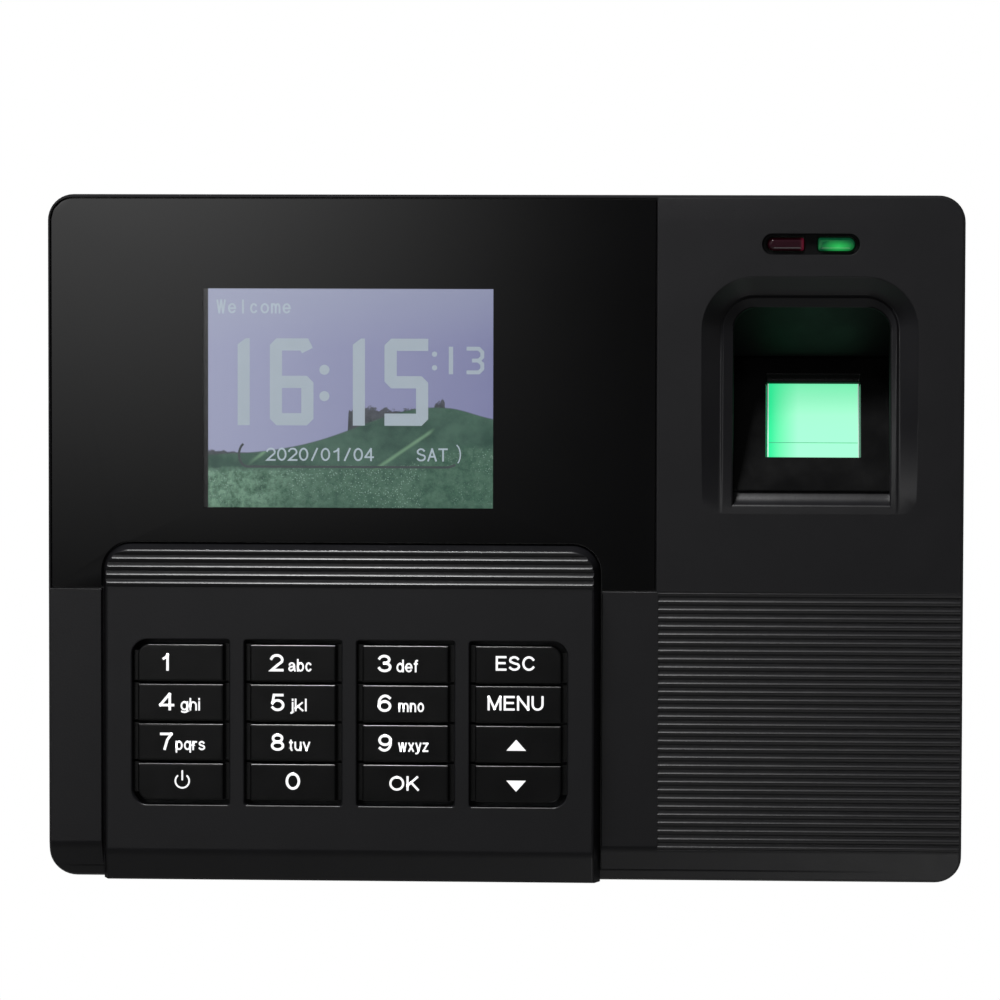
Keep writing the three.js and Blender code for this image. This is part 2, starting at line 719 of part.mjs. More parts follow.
function displayFrame() {
  const { left, right, bottom, top } = PICTURE;
  const outline = roundedRect(
    left - MODULE_BORDER_X, bottom - MODULE_BORDER_Z, right + MODULE_BORDER_X,
    top + MODULE_BORDER_Z, 1);
  return frontToBack(outline, LEDGE_BACK_Y + GAP, LEDGE_BACK_Y + 3.3);
}

// A flat flexible cable: its y-z route given as points, its width along x.
function flatCable({ route, x, width }) {
  const upper = route.map(([y, z]) => [y, z + CABLE_THICK / 2]);
  const lower = route.map(([y, z]) => [y, z - CABLE_THICK / 2]).reverse();
  return leftToRight([...upper, ...lower], x - width / 2, x + width / 2);
}

// ---------- indicator ----------
function lightGuide(side) {
  return frontToBack(lensOutline(side, 0), FACE_Y + LENS_FRONT_STEP, LENS_BACK_Y, LENS_EDGE);
}

function ledBoard() {
  const { half, rise, front, back } = LED_BOARD;
  const plate = box(LED_X - half, LED_X + half, front, back, LED_Z - rise, LED_Z + rise);
  const leds = [-1, 1].map((side) => {
    const x = LED_X + side * LENS_OFFSET;
    const chip = LED_CHIP;
    return box(x - chip.half, x + chip.half, chip.front, back, LED_Z - chip.rise, LED_Z + chip.rise);
  });
  return join(plate, ...leds);
}

// ---------- fingerprint reader, drawn square to its own slanted cover ----------
function readerCover() {
  const { x, bottom, top } = COVER_HALF;
  const half = { x: READER_WIDTH / 2, z: READER_HEIGHT / 2 };
  const shift = READER_SHIFT;
  const opening = box(
    shift.x - half.x, shift.x + half.x, 0, COVER_THICK + 1, shift.z - half.z, shift.z + half.z);
  const screwHoles = [-1, 1].map((side) =>
    roundBar(
      side * SENSOR_SCREW_X, SENSOR_SCREW_Z, THREAD_HOLE_R, THREAD_HOLE_R, 0, COVER_THICK + 1,
      SCREW_SIDES));
  const sheet = frontToBack(roundedRect(-x, bottom, x, top, 2), GAP, GAP + COVER_THICK);
  return cut(sheet, opening, ...screwHoles);
}

function readerPrism() {
  const rise = READER_HEIGHT / 2 - GAP;
  const { front, side, ridge } = PRISM_DEPTHS;
  const outline = [
    [front, -rise],
    [front, rise],
    [side, rise],
    [ridge, PRISM_RIDGE_HALF],
    [ridge, -PRISM_RIDGE_HALF],
    [side, -rise],
  ];
  const half = READER_WIDTH / 2 - GAP;
  return leftToRight(outline, -half, half);
}

function readerBody() {
  const { half, bottom, top, front, back, floor } = READER_BODY;
  const room = { x: READER_WIDTH / 2, z: READER_ROOM_HALF_Z };
  const hole = READER_LENS_R + GAP;
  return cut(
    box(-half, half, front, back, bottom, top),
    box(-room.x, room.x, front - 1, floor, -room.z, room.z),
    roundBar(0, 0, hole, hole, floor - 1, back + 1));
}

function readerBoard() {
  const { half, bottom, top, thick } = READER_BOARD;
  const front = READER_BODY.back + GAP;
  return box(-half, half, front, front + thick, bottom, top);
}

function readerLens() {
  return roundBar(0, 0, READER_LENS_R, READER_LENS_R, READER_BODY.floor, READER_BODY.back);
}

function coverScrew(side) {
  const profile = screwProfile(SCREWS.cover, SENSOR_SCREW_TIP, GAP + COVER_THICK + GAP);
  return turned(profile, side * SENSOR_SCREW_X, SENSOR_SCREW_Z, SCREW_SIDES);
}

function readerParts() {
  const group = new THREE.Group();
  group.position.set(COVER_X, COVER_Y, COVER_Z);
  group.rotation.x = -TILT;
  const optics = new THREE.Group();
  optics.position.set(READER_SHIFT.x, 0, READER_SHIFT.z);
  optics.add(
    named("sensor_prism", readerPrism(), paint(0x7dffc4, 0.05)),
    named("sensor_body", readerBody(), chipBlack()),
    named("sensor_lens", readerLens(), glossBlack()),
    named("sensor_board", readerBoard(), boardGreen()),
  );
  group.add(
    optics,
    named("sensor_cover", readerCover(), glossBlack()),
    named("sensor_screw_left", coverScrew(-1), steel()),
    named("sensor_screw_right", coverScrew(1), steel()),
  );
  return group;
}

// ---------- main board ----------
function mainBoard() {
  const [front, back] = BOARD_Y;
  const { left, right, bottom, top } = BOARD;
  const sheet = join(
    frontToBack(roundedRect(left, bottom, right, top, 2), front, back),
    box(BOARD_TONGUE.left, BOARD_TONGUE.right, front, back, BOARD_TONGUE.bottom, bottom + 1));
  const holes = BOARD_SCREWS.map(([x, z]) =>
    roundBar(x, z, BOARD_HOLE_R, BOARD_HOLE_R, front - 1, back + 1, SCREW_SIDES));
  return cut(sheet, ...holes);
}

function boardScrew(x, z) {
  const profile = screwProfile(SCREWS.board, BOARD_SCREW_TIP_Y, BOARD_Y[0] - GAP);
  return turned(profile, x, z, SCREW_SIDES);
}

function chip({ x, z, width, height, thick }) {
  const back = BOARD_Y[0] - GAP;
  return box(x - width / 2, x + width / 2, back - thick, back, z - height / 2, z + height / 2);
}

function usbSocket() {
  const { width, height, depth, wall, centreY, inset } = USB;
  const low = -HEIGHT / 2 + inset;
  const half = { x: width / 2, y: height / 2 };
  const shell = box(
    USB_X - half.x, USB_X + half.x, centreY - half.y, centreY + half.y, low, low + depth);
  const mouth = box(
    USB_X - half.x + wall, USB_X + half.x - wall, centreY - half.y + wall,
    centreY + half.y - wall, low - 1, low + depth - 1);
  return cut(shell, mouth);
}

function dcSocket() {
  const { width, depth, front, hole, holeDepth, pin, centreY } = DC;
  const low = -HEIGHT / 2 + WALL + GAP;
  const back = BOARD_Y[0] - GAP;
  const body = box(DC_X - width / 2, DC_X + width / 2, front, back, low, low + depth);
  const bore = uprightBar(DC_X, centreY, hole, low - 1, low + holeDepth);
  const contact = uprightBar(DC_X, centreY, pin, low + 1, low + holeDepth + 1);
  return join(cut(body, bore), contact);
}

function uprightBar(x, y, radius, low, high) {
  const geometry = new THREE.CylinderGeometry(radius, radius, high - low, ROUND_SIDES);
  return geometry.rotateX(Math.PI / 2).translate(x, y, (low + high) / 2);
}

function cellHolder() {
  const back = BOARD_Y[0] - GAP;
  const { x, z, r, thick, cupWall, rim, floor } = CELL;
  const cup = roundBar(x, z, r + cupWall, r + cupWall, back - thick - rim, back, FINE_SIDES);
  const front = back - thick - rim - 1;
  const room = roundBar(x, z, r + GAP, r + GAP, front, back - floor, FINE_SIDES);
  return cut(cup, room);
}

function backupCell() {
  const { x, z, r, thick, floor } = CELL;
  const back = BOARD_Y[0] - GAP - floor - GAP;
  return roundBar(x, z, r, r, back - thick, back, FINE_SIDES);
}

// ---------- loudspeaker ----------
function speakerFrame() {
  return turned(SPEAKER_FRAME, SPEAKER_X, SPEAKER_Z, FINE_SIDES);
}

function speakerCone() {
  return turned(SPEAKER_CONE, SPEAKER_X, SPEAKER_Z, FINE_SIDES);
}

function speakerMagnet() {
  const { r, front, back } = SPEAKER_MAGNET;
  return roundBar(SPEAKER_X, SPEAKER_Z, r, r, front, back, FINE_SIDES);
}

// ---------- rear housing ----------
function recessOutline(gap) {
  const { half, bottom, top, corner } = BRACKET;
  return roundedRect(-half - gap, bottom - gap, half + gap, top + gap, corner + gap);
}

function tongueOutline(gap) {
  const low = TAB_Z - gap;
  return roundedRect(-TONGUE_HALF - gap, low, TONGUE_HALF + gap, BRACKET.bottom + 2, 0);
}

function rearCavity() {
  const inset = (edge) => edge - WALL;
  const outline = roundedRect(
    -inset(WIDTH / 2), -inset(HEIGHT / 2), inset(WIDTH / 2), inset(HEIGHT / 2), CORNER_R - WALL);
  const whole = frontToBack(outline, PARTING_Y - BEYOND, BACK_Y - WALL);
  const shelf = RECESS_Y - WALL;
  const pocketWall = TONGUE_HALF + RECESS_GAP + WALL;
  return cut(
    whole,
    frontToBack(recessOutline(RECESS_GAP + WALL), shelf, 0),
    frontToBack(tongueOutline(RECESS_GAP + WALL), shelf, 0),
    box(
      -pocketWall, pocketWall, TAB_POCKET_Y - WALL, 0, -HEIGHT / 2,
      TAB_Z + TAB_POCKET.above + WALL));
}

function hookSlots() {
  return [-1, 1].map((side) => {
    const x = side * HOOK_X;
    const half = HOOK_WIDTH / 2 + 1;
    const top = HOOK_Z + BRACKET.thick + GAP;
    const drop = BRACKET.thick + HOOK_RISE + 1;
    return box(x - half, x + half, RECESS_Y - BEYOND, 0, top - drop, top);
  });
}

function speakerSlots() {
  const half = SPEAKER_R - 3;
  return Array.from({ length: SPEAKER_SLOTS }, (_, i) => {
    const z = SPEAKER_Z + (i - (SPEAKER_SLOTS - 1) / 2) * SPEAKER_SLOT_PITCH;
    const reach = Math.sqrt(half * half - (z - SPEAKER_Z) ** 2);
    const rise = SPEAKER_SLOT_WIDTH / 2;
    return box(SPEAKER_X - reach, SPEAKER_X + reach, BACK_Y - BEYOND, 1, z - rise, z + rise);
  });
}

function socketCuts() {
  const low = -HEIGHT / 2 - 1;
  const high = -HEIGHT / 2 + WALL + 1;
  const { width, height, centreY } = USB;
  const half = { x: width / 2 + GAP, y: height / 2 + GAP };
  return [
    box(USB_X - half.x, USB_X + half.x, centreY - half.y, centreY + half.y, low, high),
    uprightBar(DC_X, DC.centreY, DC.hole + SOCKET_RIM, low, high),
  ];
}

function rearHousing() {
  const outline = roundedRect(-WIDTH / 2, -HEIGHT / 2, WIDTH / 2, HEIGHT / 2, CORNER_R);
  const block = frontToBack(outline, PARTING_Y - BEYOND, BACK_Y, BACK_EDGE);
  const ahead = box(-WIDTH, WIDTH, PARTING_Y - 2 * BEYOND, PARTING_Y, -HEIGHT, HEIGHT);
  const postFront = BOARD_Y[1] + GAP;
  const columns = pillars(PARTING_Y, BACK_Y - 2, COLUMN_R);
  const low = TAB_Z - RECESS_GAP - TAB_POCKET.below;
  const pocket = TONGUE_HALF + RECESS_GAP;
  const mouth = -HEIGHT / 2;
  return cut(
    join(cut(block, ahead, rearCavity()), ...boardBars(BOARD_POST_R, postFront, -2), ...columns),
    frontToBack(recessOutline(RECESS_GAP), RECESS_Y, 1),
    frontToBack(tongueOutline(RECESS_GAP), RECESS_Y, 1),
    box(-pocket, pocket, TAB_POCKET_Y, 1, low, TAB_Z + TAB_POCKET.above),
    uprightBar(0, LOCK_Y, LOCK_HOLE_R, mouth - 1, TAB_Z),
    uprightBar(0, LOCK_Y, LOCK_HEAD_HOLE.r, mouth - 1, mouth + LOCK_HEAD_HOLE.depth),
    ...boardBars(THREAD_HOLE_R, BOARD_Y[1] - 1, BOARD_SCREW_TIP_Y + GAP),
    ...pillars(PARTING_Y - 1, BACK_Y + 1, CASE_SCREW_HOLE_R),
    ...pillars(CASE_SEAT_Y, BACK_Y + 1, CASE_HEAD_HOLE_R),
    ...hookSlots(),
    ...speakerSlots(),
    ...socketCuts(),
  );
}

// A round bar along y at each of the main board's screws.
function boardBars(radius, front, back) {
  return BOARD_SCREWS.map(([x, z]) => roundBar(x, z, radius, radius, front, back, SCREW_SIDES));
}

function caseScrew(x, z) {
  const profile = screwProfile(SCREWS.case, CASE_SCREW_TIP_Y, CASE_SEAT_Y + GAP);
  return turned(profile, x, z, SCREW_SIDES);
}

// ---------- wall bracket ----------
function wallBracket() {
  const { half, bottom, top, thick, corner } = BRACKET;
  const plate = frontToBack(roundedRect(-half, bottom, half, top, corner), -thick, 0);
  const tongue = box(-TONGUE_HALF, TONGUE_HALF, -thick, 0, TAB_Z, bottom + 1);
  const tab = box(-TONGUE_HALF, TONGUE_HALF, -TAB_DEPTH, 0, TAB_Z, TAB_Z + thick);
  const hooks = [-1, 1].flatMap((side) => {
    const x0 = side * HOOK_X - HOOK_WIDTH / 2;
    const x1 = x0 + HOOK_WIDTH;
    const reach = RECESS_Y - WALL - GAP;
    return [
      box(x0, x1, reach - thick, 0, HOOK_Z, HOOK_Z + thick),
      box(x0, x1, reach - thick, reach, HOOK_Z, HOOK_Z + thick + HOOK_RISE),
    ];
  });
  return cut(
    join(plate, tongue, tab, ...hooks),
    uprightBar(0, LOCK_Y, SCREWS.bracket.shank + GAP, TAB_Z - 1, TAB_Z + thick + 1),
    ...WALL_HOLES.map(([x, z]) => roundBar(x, z, WALL_HOLE_R, WALL_HOLE_R, -thick - 1, 1)));
}

function bracketScrew() {
  const seat = -HEIGHT / 2 + GAP + SCREWS.bracket.height;
  const points = screwProfile(SCREWS.bracket, TAB_Z + LOCK_TIP, seat)
    .map(([r, z]) => new THREE.Vector2(r, z));
  return new THREE.LatheGeometry(points, ROUND_SIDES).rotateX(Math.PI / 2).translate(0, LOCK_Y, 0);
}

// ---------- assembly ----------
const terminal = new THREE.Group();

terminal.add(
  named("front_housing", frontHousing(), matteBlack()),
  named("rear_housing", rearHousing(), matteBlack()),
  named("window_panel", windowPanel(), glossBlack()),
  named("keypad_panel", keypadPanel(), matteBlack()),
);

KEY_NAMES.forEach((names, column) =>
  names.forEach((name, row) => terminal.add(named(name, keyCap(column, row), keyBlack()))));

terminal.add(
  named("keypad_membrane", keypadMembrane(), rubberGrey()),
  named("keypad_board", keypadBoard(), boardGreen()),
  named("keypad_cable", flatCable(KEYPAD_CABLE), filmAmber()),
  named("keypad_screw_left", keypadScrew(KEYPAD_SCREW_X[0]), steel()),
  named("keypad_screw_right", keypadScrew(KEYPAD_SCREW_X[1]), steel()),
  named("lcd_glass", displayGlass(), paint(0x9aa0b4, 0.15)),
  named("lcd_frame", displayFrame(), steel()),
  named("lcd_cable", flatCable(LCD_CABLE), filmAmber()),
  named("led_lens_red", lightGuide(-1), paint(0x5a1020, 0.15)),
  named("led_lens_green", lightGuide(1), paint(0x18a040, 0.15)),
  named("led_board", ledBoard(), boardGreen()),
  named("sensor_cable", flatCable(READER_CABLE), filmAmber()),
  readerParts(),
);

terminal.add(
  named("main_board", mainBoard(), boardGreen()),
  named("processor", chip(PROCESSOR), chipBlack()),
  named("memory_chip", chip(MEMORY_CHIP), chipBlack()),
  named("cell_holder", cellHolder(), chipBlack()),
  named("backup_cell", backupCell(), steel()),
  named("usb_socket", usbSocket(), steel()),
  named("dc_socket", dcSocket(), chipBlack()),
  named("speaker_frame", speakerFrame(), steel()),
  named("speaker_cone", speakerCone(), chipBlack()),
  named("speaker_magnet", speakerMagnet(), steel()),
  named("wall_bracket", wallBracket(), steel()),
  named("bracket_screw", bracketScrew(), steel()),
);

BOARD_SCREWS.forEach(([x, z], i) =>
  terminal.add(named(`board_screw_${i + 1}`, boardScrew(x, z), steel())));

[[-1, 1], [1, 1], [1, -1], [-1, -1]].forEach(([x, z], i) => {
  const screw = caseScrew(x * CASE_SCREW_X, z * CASE_SCREW_Z);
  terminal.add(named(`case_screw_${i + 1}`, screw, steel()));
});

export default terminal;
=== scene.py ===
import math

import bmesh
import bpy
from mathutils import Matrix, Vector


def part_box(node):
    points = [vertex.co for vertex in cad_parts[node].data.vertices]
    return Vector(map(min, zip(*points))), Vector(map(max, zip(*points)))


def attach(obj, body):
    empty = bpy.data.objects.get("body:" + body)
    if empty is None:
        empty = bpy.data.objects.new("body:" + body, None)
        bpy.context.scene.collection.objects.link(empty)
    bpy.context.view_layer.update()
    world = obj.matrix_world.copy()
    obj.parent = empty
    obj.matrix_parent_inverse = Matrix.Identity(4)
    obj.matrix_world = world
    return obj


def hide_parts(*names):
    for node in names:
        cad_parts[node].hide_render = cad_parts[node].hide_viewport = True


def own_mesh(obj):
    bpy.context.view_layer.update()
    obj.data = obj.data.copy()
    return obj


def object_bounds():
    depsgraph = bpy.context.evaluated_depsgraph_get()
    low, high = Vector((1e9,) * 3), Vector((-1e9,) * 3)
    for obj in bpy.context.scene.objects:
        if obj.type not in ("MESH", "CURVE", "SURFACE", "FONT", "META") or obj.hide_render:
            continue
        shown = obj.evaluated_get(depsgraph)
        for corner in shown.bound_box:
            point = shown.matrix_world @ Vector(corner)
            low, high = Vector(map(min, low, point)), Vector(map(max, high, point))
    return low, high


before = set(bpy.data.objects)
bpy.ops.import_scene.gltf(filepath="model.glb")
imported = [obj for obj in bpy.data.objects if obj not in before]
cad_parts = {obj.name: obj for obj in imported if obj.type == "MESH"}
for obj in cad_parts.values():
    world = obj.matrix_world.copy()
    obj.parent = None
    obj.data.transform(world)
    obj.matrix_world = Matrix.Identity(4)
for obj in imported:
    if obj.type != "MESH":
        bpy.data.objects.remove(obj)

# A wall-mounted fingerprint time terminal. Shapes are drawn in millimetres in the frame of the
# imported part: +X right, +Z up, the front faces -Y, and y = 0 is the wall.
cad_low, cad_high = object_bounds()
MM = 0.001

# ---------- driving dimensions, in millimetres ----------
WIDTH = (cad_high.x - cad_low.x) / MM
HEIGHT = (cad_high.z - cad_low.z) / MM
HALF_WIDTH = WIDTH / 2
HALF_HEIGHT = HEIGHT / 2
CORNER_R = 5.2
FACE_Y = -32
PARTING_Y = -16
SEAM_RIB = {"outer": 0.6, "inner": 1.5, "rise": 0.28, "root": 0.5}
BACK_Y = -0.3
GAP = 0.3
WALL = 2.2
FRONT_EDGE = 0.12
SIDE_SLOPE = 0.5
SIDE_SLOPE_DEPTH = 1.6
BACK_EDGE = 1.6
BEYOND = 5
CORNER_STEPS = 10
EDGE_STEPS = 5

CHAMFER_Z = -61.6
CHAMFER_SLOPE = 3.2 / (CHAMFER_Z + HALF_HEIGHT)
CHAMFER_BLEND = 0.9
CHAMFER_STEPS = 8

SEAM_X = 30.3
SEAM_Z = -9.95
LEDGE_Y = -30
LEDGE_BACK_Y = -28
WINDOW_INSET = 0.9
PICTURE = {"left": -60, "right": -2.1, "bottom": 6, "top": 49.6}
PICTURE_MARGIN = 0.95
APERTURE_LEFT = -59.93
GLASS_BORDER = 1.1

PANEL_Y = -36.4
PANEL_CREST_Y = -36.7
PANEL = {"left": -79.9, "right": 19.3, "top": -1}
PANEL_R = 5.6
PANEL_DRAFT = 1.0
PANEL_PLATE = 2.2
PANEL_SKIRT = 2.4
PANEL_EDGE = 0.55
PANEL_CHAMFER_Z = -62.4

KEY_COLUMNS = [
    ["key_1", "key_4", "key_7", "key_power"],
    ["key_2", "key_5", "key_8", "key_0"],
    ["key_3", "key_6", "key_9", "key_ok"],
    ["key_esc", "key_menu", "key_up", "key_down"],
]
KEY_WIDTH = 17.1
KEY_Y = -36.42
KEY_BACK_Y = -33.1
KEY_EDGE = 0.4
KEY_CORNER_R = 2.2
FLANGE_FRONT_Y = -33.9
WING_SHORT = 1.4
STEM_END_Y = -31
STEM_R = 1.6
LEGEND_Y = -36.45
LEGEND_SINK = 0.12
WELL_WIDTH = 19.4
WELL_TOP_Z = -20
WELL_BOTTOM_Z = -52.9
WELL_R = 3

SHEET_FRONT_Y = -29
DOME_TOP_Y = -30.7
DOME_BASE_R = 3.4
DOME_TOP_R = 2

FIELD_CRESTS = [-10.07, *[-10.61 - 1.63 * i for i in range(32)], -62.1]
PANEL_CRESTS = [-2.5, -3.95, -5.57, -7.19, -8.81]
PANEL_FLAT_Z = -9.75
FLUTE_PITCH = 1.63
FLUTE_DEPTH = 0.36
FLUTE_STEPS = 10
CREST_LIFT = 0.03

REST_X = 60.5
FUNNEL_HALF = 21.3
FUNNEL_TOP_Z = 52.15
FUNNEL_R = 10.4
FUNNEL_BAND = 3.9
FUNNEL_DEPTH = 3
COLLAR_DEPTH = 2.5
COLLAR_SLOPE = 0.6
FUNNEL_END_Z = 5
POCKET_HALF = 15.45
POCKET_TOP_Z = 46
POCKET_R = 4.6
CEILING_Z = 36.2
CEILING_Y = -17
LIP_Z = 6.2
SLEEVE_WALL = 2
TILT = math.radians(27.4)
COVER_Z = 23.4
COVER_Y = -23.1
COVER_THICK = 2
COVER_HALF_X = 23
COVER_BOTTOM = -15.2
COVER_TOP = 15.5
READER_WIDTH = 18.4
READER_HEIGHT = 16.7
READER_SHIFT_X = 0.8
READER_SHIFT_Z = 0.55
POCKET_X = 60.9
SENSOR_SCREW_X = 19.6

LED_X = 60.6
LED_Z = 58.6
LED_SLOT_WIDTH = 19.2
LED_SLOT_HEIGHT = 4.15
LED_SLOT_DEPTH = 1
LENS_WIDTH = 7.2
LENS_HEIGHT = 2.6
LENS_OFFSET = 5
LENS_BACK_Y = -27.4

CASE_SCREW_X = 84
CASE_SCREW_Z = 59
PILLAR_R = 3.6
BOARD_Y = [-8.2, -6.6]
BOARD_SCREWS = [(-46, 41), (76, 41), (76, -41), (-46, -41)]

SPEAKER = (-68, -34)
SPEAKER_R = 13
SPEAKER_SLOTS = 5
SPEAKER_SLOT_PITCH = 3.4
SPEAKER_SLOT_WIDTH = 1.4

USB_X = 30
USB_Y = -11.5
USB_WIDTH = 13.3
USB_HEIGHT = 5.9
USB_WALL = 0.4
SOCKET_DEPTH = 14
DC_X = 54
DC_Y = -11.8
DC_HOLE_R = 3.2

RECESS_Y = -1.8
RECESS_GAP = 0.6
BRACKET_HALF = 45
BRACKET_BOTTOM = -20
BRACKET_TOP = 32
BRACKET_THICK = 1.2
BRACKET_R = 3
TONGUE_HALF = 9
TAB_Z = -60
TAB_DEPTH = 9.5
TAB_POCKET_Y = -10.6
LOCK_Y = -6
HOOK_X = 30
HOOK_Z = 14
HOOK_WIDTH = 12
HOOK_RISE = 4
WALL_HOLES = [(-30, 0), (30, 0), (0, 24), (0, -12)]


# ---------- outlines: lists of (x, z), anticlockwise as seen from the front ----------
def arc(cx, cz, radius, start, end, steps=CORNER_STEPS):
    """Points of an arc about (cx, cz), angles in degrees."""
    points = []
    for i in range(steps + 1):
        a = math.radians(start + (end - start) * i / steps)
        points.append((cx + radius * math.cos(a), cz + radius * math.sin(a)))
    return points


def rounded(left, bottom, right, top, radii, steps=CORNER_STEPS):
    """A rectangle with round corners; radii run bottom left, bottom right, top right, top left."""
    if not isinstance(radii, (list, tuple)):
        radii = [radii] * 4
    bl, br, tr, tl = [max(r, 0.02) for r in radii]
    return [
        *arc(left + bl, bottom + bl, bl, 180, 270, steps),
        *arc(right - br, bottom + br, br, 270, 360, steps),
        *arc(right - tr, top - tr, tr, 0, 90, steps),
        *arc(left + tl, top - tl, tl, 90, 180, steps),
    ]


def circle(cx, cz, radius, sides=32):
    return arc(cx, cz, radius, 0, 360 - 360 / sides, sides - 1)


# ---------- meshes ----------
def new_object(name, mesh):
    obj = bpy.data.objects.new(name, mesh)
    bpy.context.scene.collection.objects.link(obj)
    return obj


def mesh_object(points, faces, name="shape"):
    """A mesh with its double points merged and its faces turned outwards."""
    mesh = bpy.data.meshes.new(name)
    mesh.from_pydata([tuple(p) for p in points], [], faces)
    bm = bmesh.new()
    bm.from_mesh(mesh)
    bmesh.ops.remove_doubles(bm, verts=bm.verts, dist=1e-5)
    bmesh.ops.dissolve_degenerate(bm, dist=1e-6, edges=bm.edges)
    bmesh.ops.recalc_face_normals(bm, faces=bm.faces)
    bm.to_mesh(mesh)
    bm.free()
    return new_object(name, mesh)


def loft(rings, strips=False):
    """Joins rings of 3-D points, front to back. With strips the first end follows the rings' left
    and right halves in pairs, so that a face bent across its height stays made of flat pieces."""
    count = len(rings[0])
    points = [p for ring in rings for p in ring]
    faces = []
    for r in range(len(rings) - 1):
        for i in range(count):
            j = (i + 1) % count
            a, b = r * count, (r + 1) * count
            faces.append([a + i, b + i, b + j, a + j])
    if strips:
        half = count // 2
        for i in range(half - 1):
            faces.append([i, i + 1, count - 2 - i, count - 1 - i])
    else:
        faces.append(list(range(count)))
    faces.append(list(range((len(rings) - 1) * count, len(rings) * count))[::-1])
    return mesh_object(points, faces)


def stack(shape, profile):
    """A solid from profile rows (inset, y), front to back; shape(inset) gives the outline."""
    return loft([[(x, y, z) for x, z in shape(inset)] for inset, y in profile])


def edge_rows(front, back, front_r=0.0, back_r=0.0, steps=EDGE_STEPS):
    """Profile rows of a block whose front and back edges are rounded."""
    rows = []
    for i in range(steps + 1 if front_r else 1):
        a = math.pi / 2 * i / steps
        rows.append((front_r * (1 - math.sin(a)), front + front_r * (1 - math.cos(a))))
    for i in range(steps + 1 if back_r else 1):
        a = math.pi / 2 * i / steps
        rows.append((back_r * (1 - math.cos(a)), back - back_r * (1 - math.sin(a))))
    return rows


def hole_rows(face, back, rim_r, steps=EDGE_STEPS, before=1.0):
    """Profile rows of a cutter that leaves a rounded rim where it meets the face from the front."""
    rows = [(-rim_r, face - before)]
    for i in range(steps + 1):
        a = math.pi / 2 * i / steps
        rows.append((-rim_r * (1 - math.sin(a)), face + rim_r * (1 - math.cos(a))))
    rows.append((0, back))
    return rows


def back_hole_rows(front, face, rim_r, steps=EDGE_STEPS, beyond=1.0):
    """The same for a cutter that meets a face from behind."""
    rows = [(0, front)]
    for i in range(steps + 1):
        a = math.pi / 2 * i / steps
        rows.append((-rim_r * (1 - math.cos(a)), face - rim_r * (1 - math.sin(a))))
    rows.append((-rim_r, face + beyond))
    return rows


def plate(outline, front, back):
    return loft([[(x, y, z) for x, z in outline] for y in (front, back)])


def extrude_x(outline, left, right):
    """A y-z outline made solid from x = left to x = right."""
    return loft([[(x, y, z) for y, z in outline] for x in (left, right)])


def box(x0, x1, y0, y1, z0, z1):
    return extrude_x([(y0, z0), (y1, z0), (y1, z1), (y0, z1)], x0, x1)


def soft_box(x0, x1, y0, y1, z0, z1, radius=0.3, steps=3):
    """A box with all its edges rounded."""
    outline = lambda inset: rounded(
        x0 + inset, z0 + inset, x1 - inset, z1 - inset, max(radius - inset, 0.02), steps)
    return stack(outline, edge_rows(y0, y1, radius, radius, steps))


def bar_y(x, z, radius, front, back, back_radius=None, sides=32):
    end = radius if back_radius is None else back_radius
    return loft([
        [(px, front, pz) for px, pz in circle(x, z, radius, sides)],
        [(px, back, pz) for px, pz in circle(x, z, end, sides)],
    ])


def bar_z(x, y, radius, low, high, sides=32):
    ring = circle(x, y, radius, sides)
    return loft([[(px, py, z) for px, py in ring] for z in (low, high)])


def turned_y(profile, x, z, sides=40):
    """A solid of revolution about a line along y; profile rows are (radius, y)."""
    return loft([
        [(px, y, pz) for px, pz in circle(x, z, max(r, 0.01), sides)] for r, y in profile])


def turned_z(profile, x, y, sides=40):
    """A solid of revolution about a line along z; profile rows are (radius, z)."""
    return loft([
        [(px, py, z) for px, py in circle(x, y, max(r, 0.01), sides)] for r, z in profile])


def evaluated(obj):
    depsgraph = bpy.context.evaluated_depsgraph_get()
    return bpy.data.meshes.new_from_object(obj.evaluated_get(depsgraph))


def apply_modifiers(obj):
    mesh = evaluated(obj)
    obj.modifiers.clear()
    obj.data = mesh


def boolean(target, tools, operation):
    for tool in tools:
        modifier = target.modifiers.new("boolean", "BOOLEAN")
        modifier.solver = "MANIFOLD"
        modifier.operation = operation
        modifier.object = tool
    apply_modifiers(target)
    for tool in tools:
        bpy.data.objects.remove(tool)
    return target


def cut(target, *tools):
    return boolean(target, tools, "DIFFERENCE")


def join(target, *tools):
    return boolean(target, tools, "UNION")


def tilted(obj):
    """Turns a shape drawn square to the reader's own cover into its slanted place."""
    place = Matrix.Translation((REST_X, COVER_Y, COVER_Z)) @ Matrix.Rotation(-TILT, 4, "X")
    obj.data.transform(place)
    return obj


def as_piece(obj, name, materials, stands_for=(), body="root", crease=34, bevel=0):
    """Finishes a shape: real size, smooth shading between sharp edges, material and body, and hides the
    imported parts it stands for.
    """
    obj.name = name
    obj.data.name = name
    if bevel:
        modifier = obj.modifiers.new("bevel", "BEVEL")
        modifier.width = bevel
        modifier.segments = 2
        modifier.limit_method = "ANGLE"
        modifier.angle_limit = math.radians(40)
        apply_modifiers(obj)
    obj.data.transform(Matrix.Scale(MM, 4))
    obj.data.set_sharp_from_angle(angle=math.radians(crease))
    obj.data.shade_smooth() if hasattr(obj.data, "shade_smooth") else None
    weighted = obj.modifiers.new("normals", "WEIGHTED_NORMAL")
    weighted.keep_sharp = True
    apply_modifiers(obj)
    obj.data.materials.clear()
    for material in materials if isinstance(materials, list) else [materials]:
        obj.data.materials.append(material)
    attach(obj, body)
    if stands_for:
        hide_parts(*stands_for)
    return obj


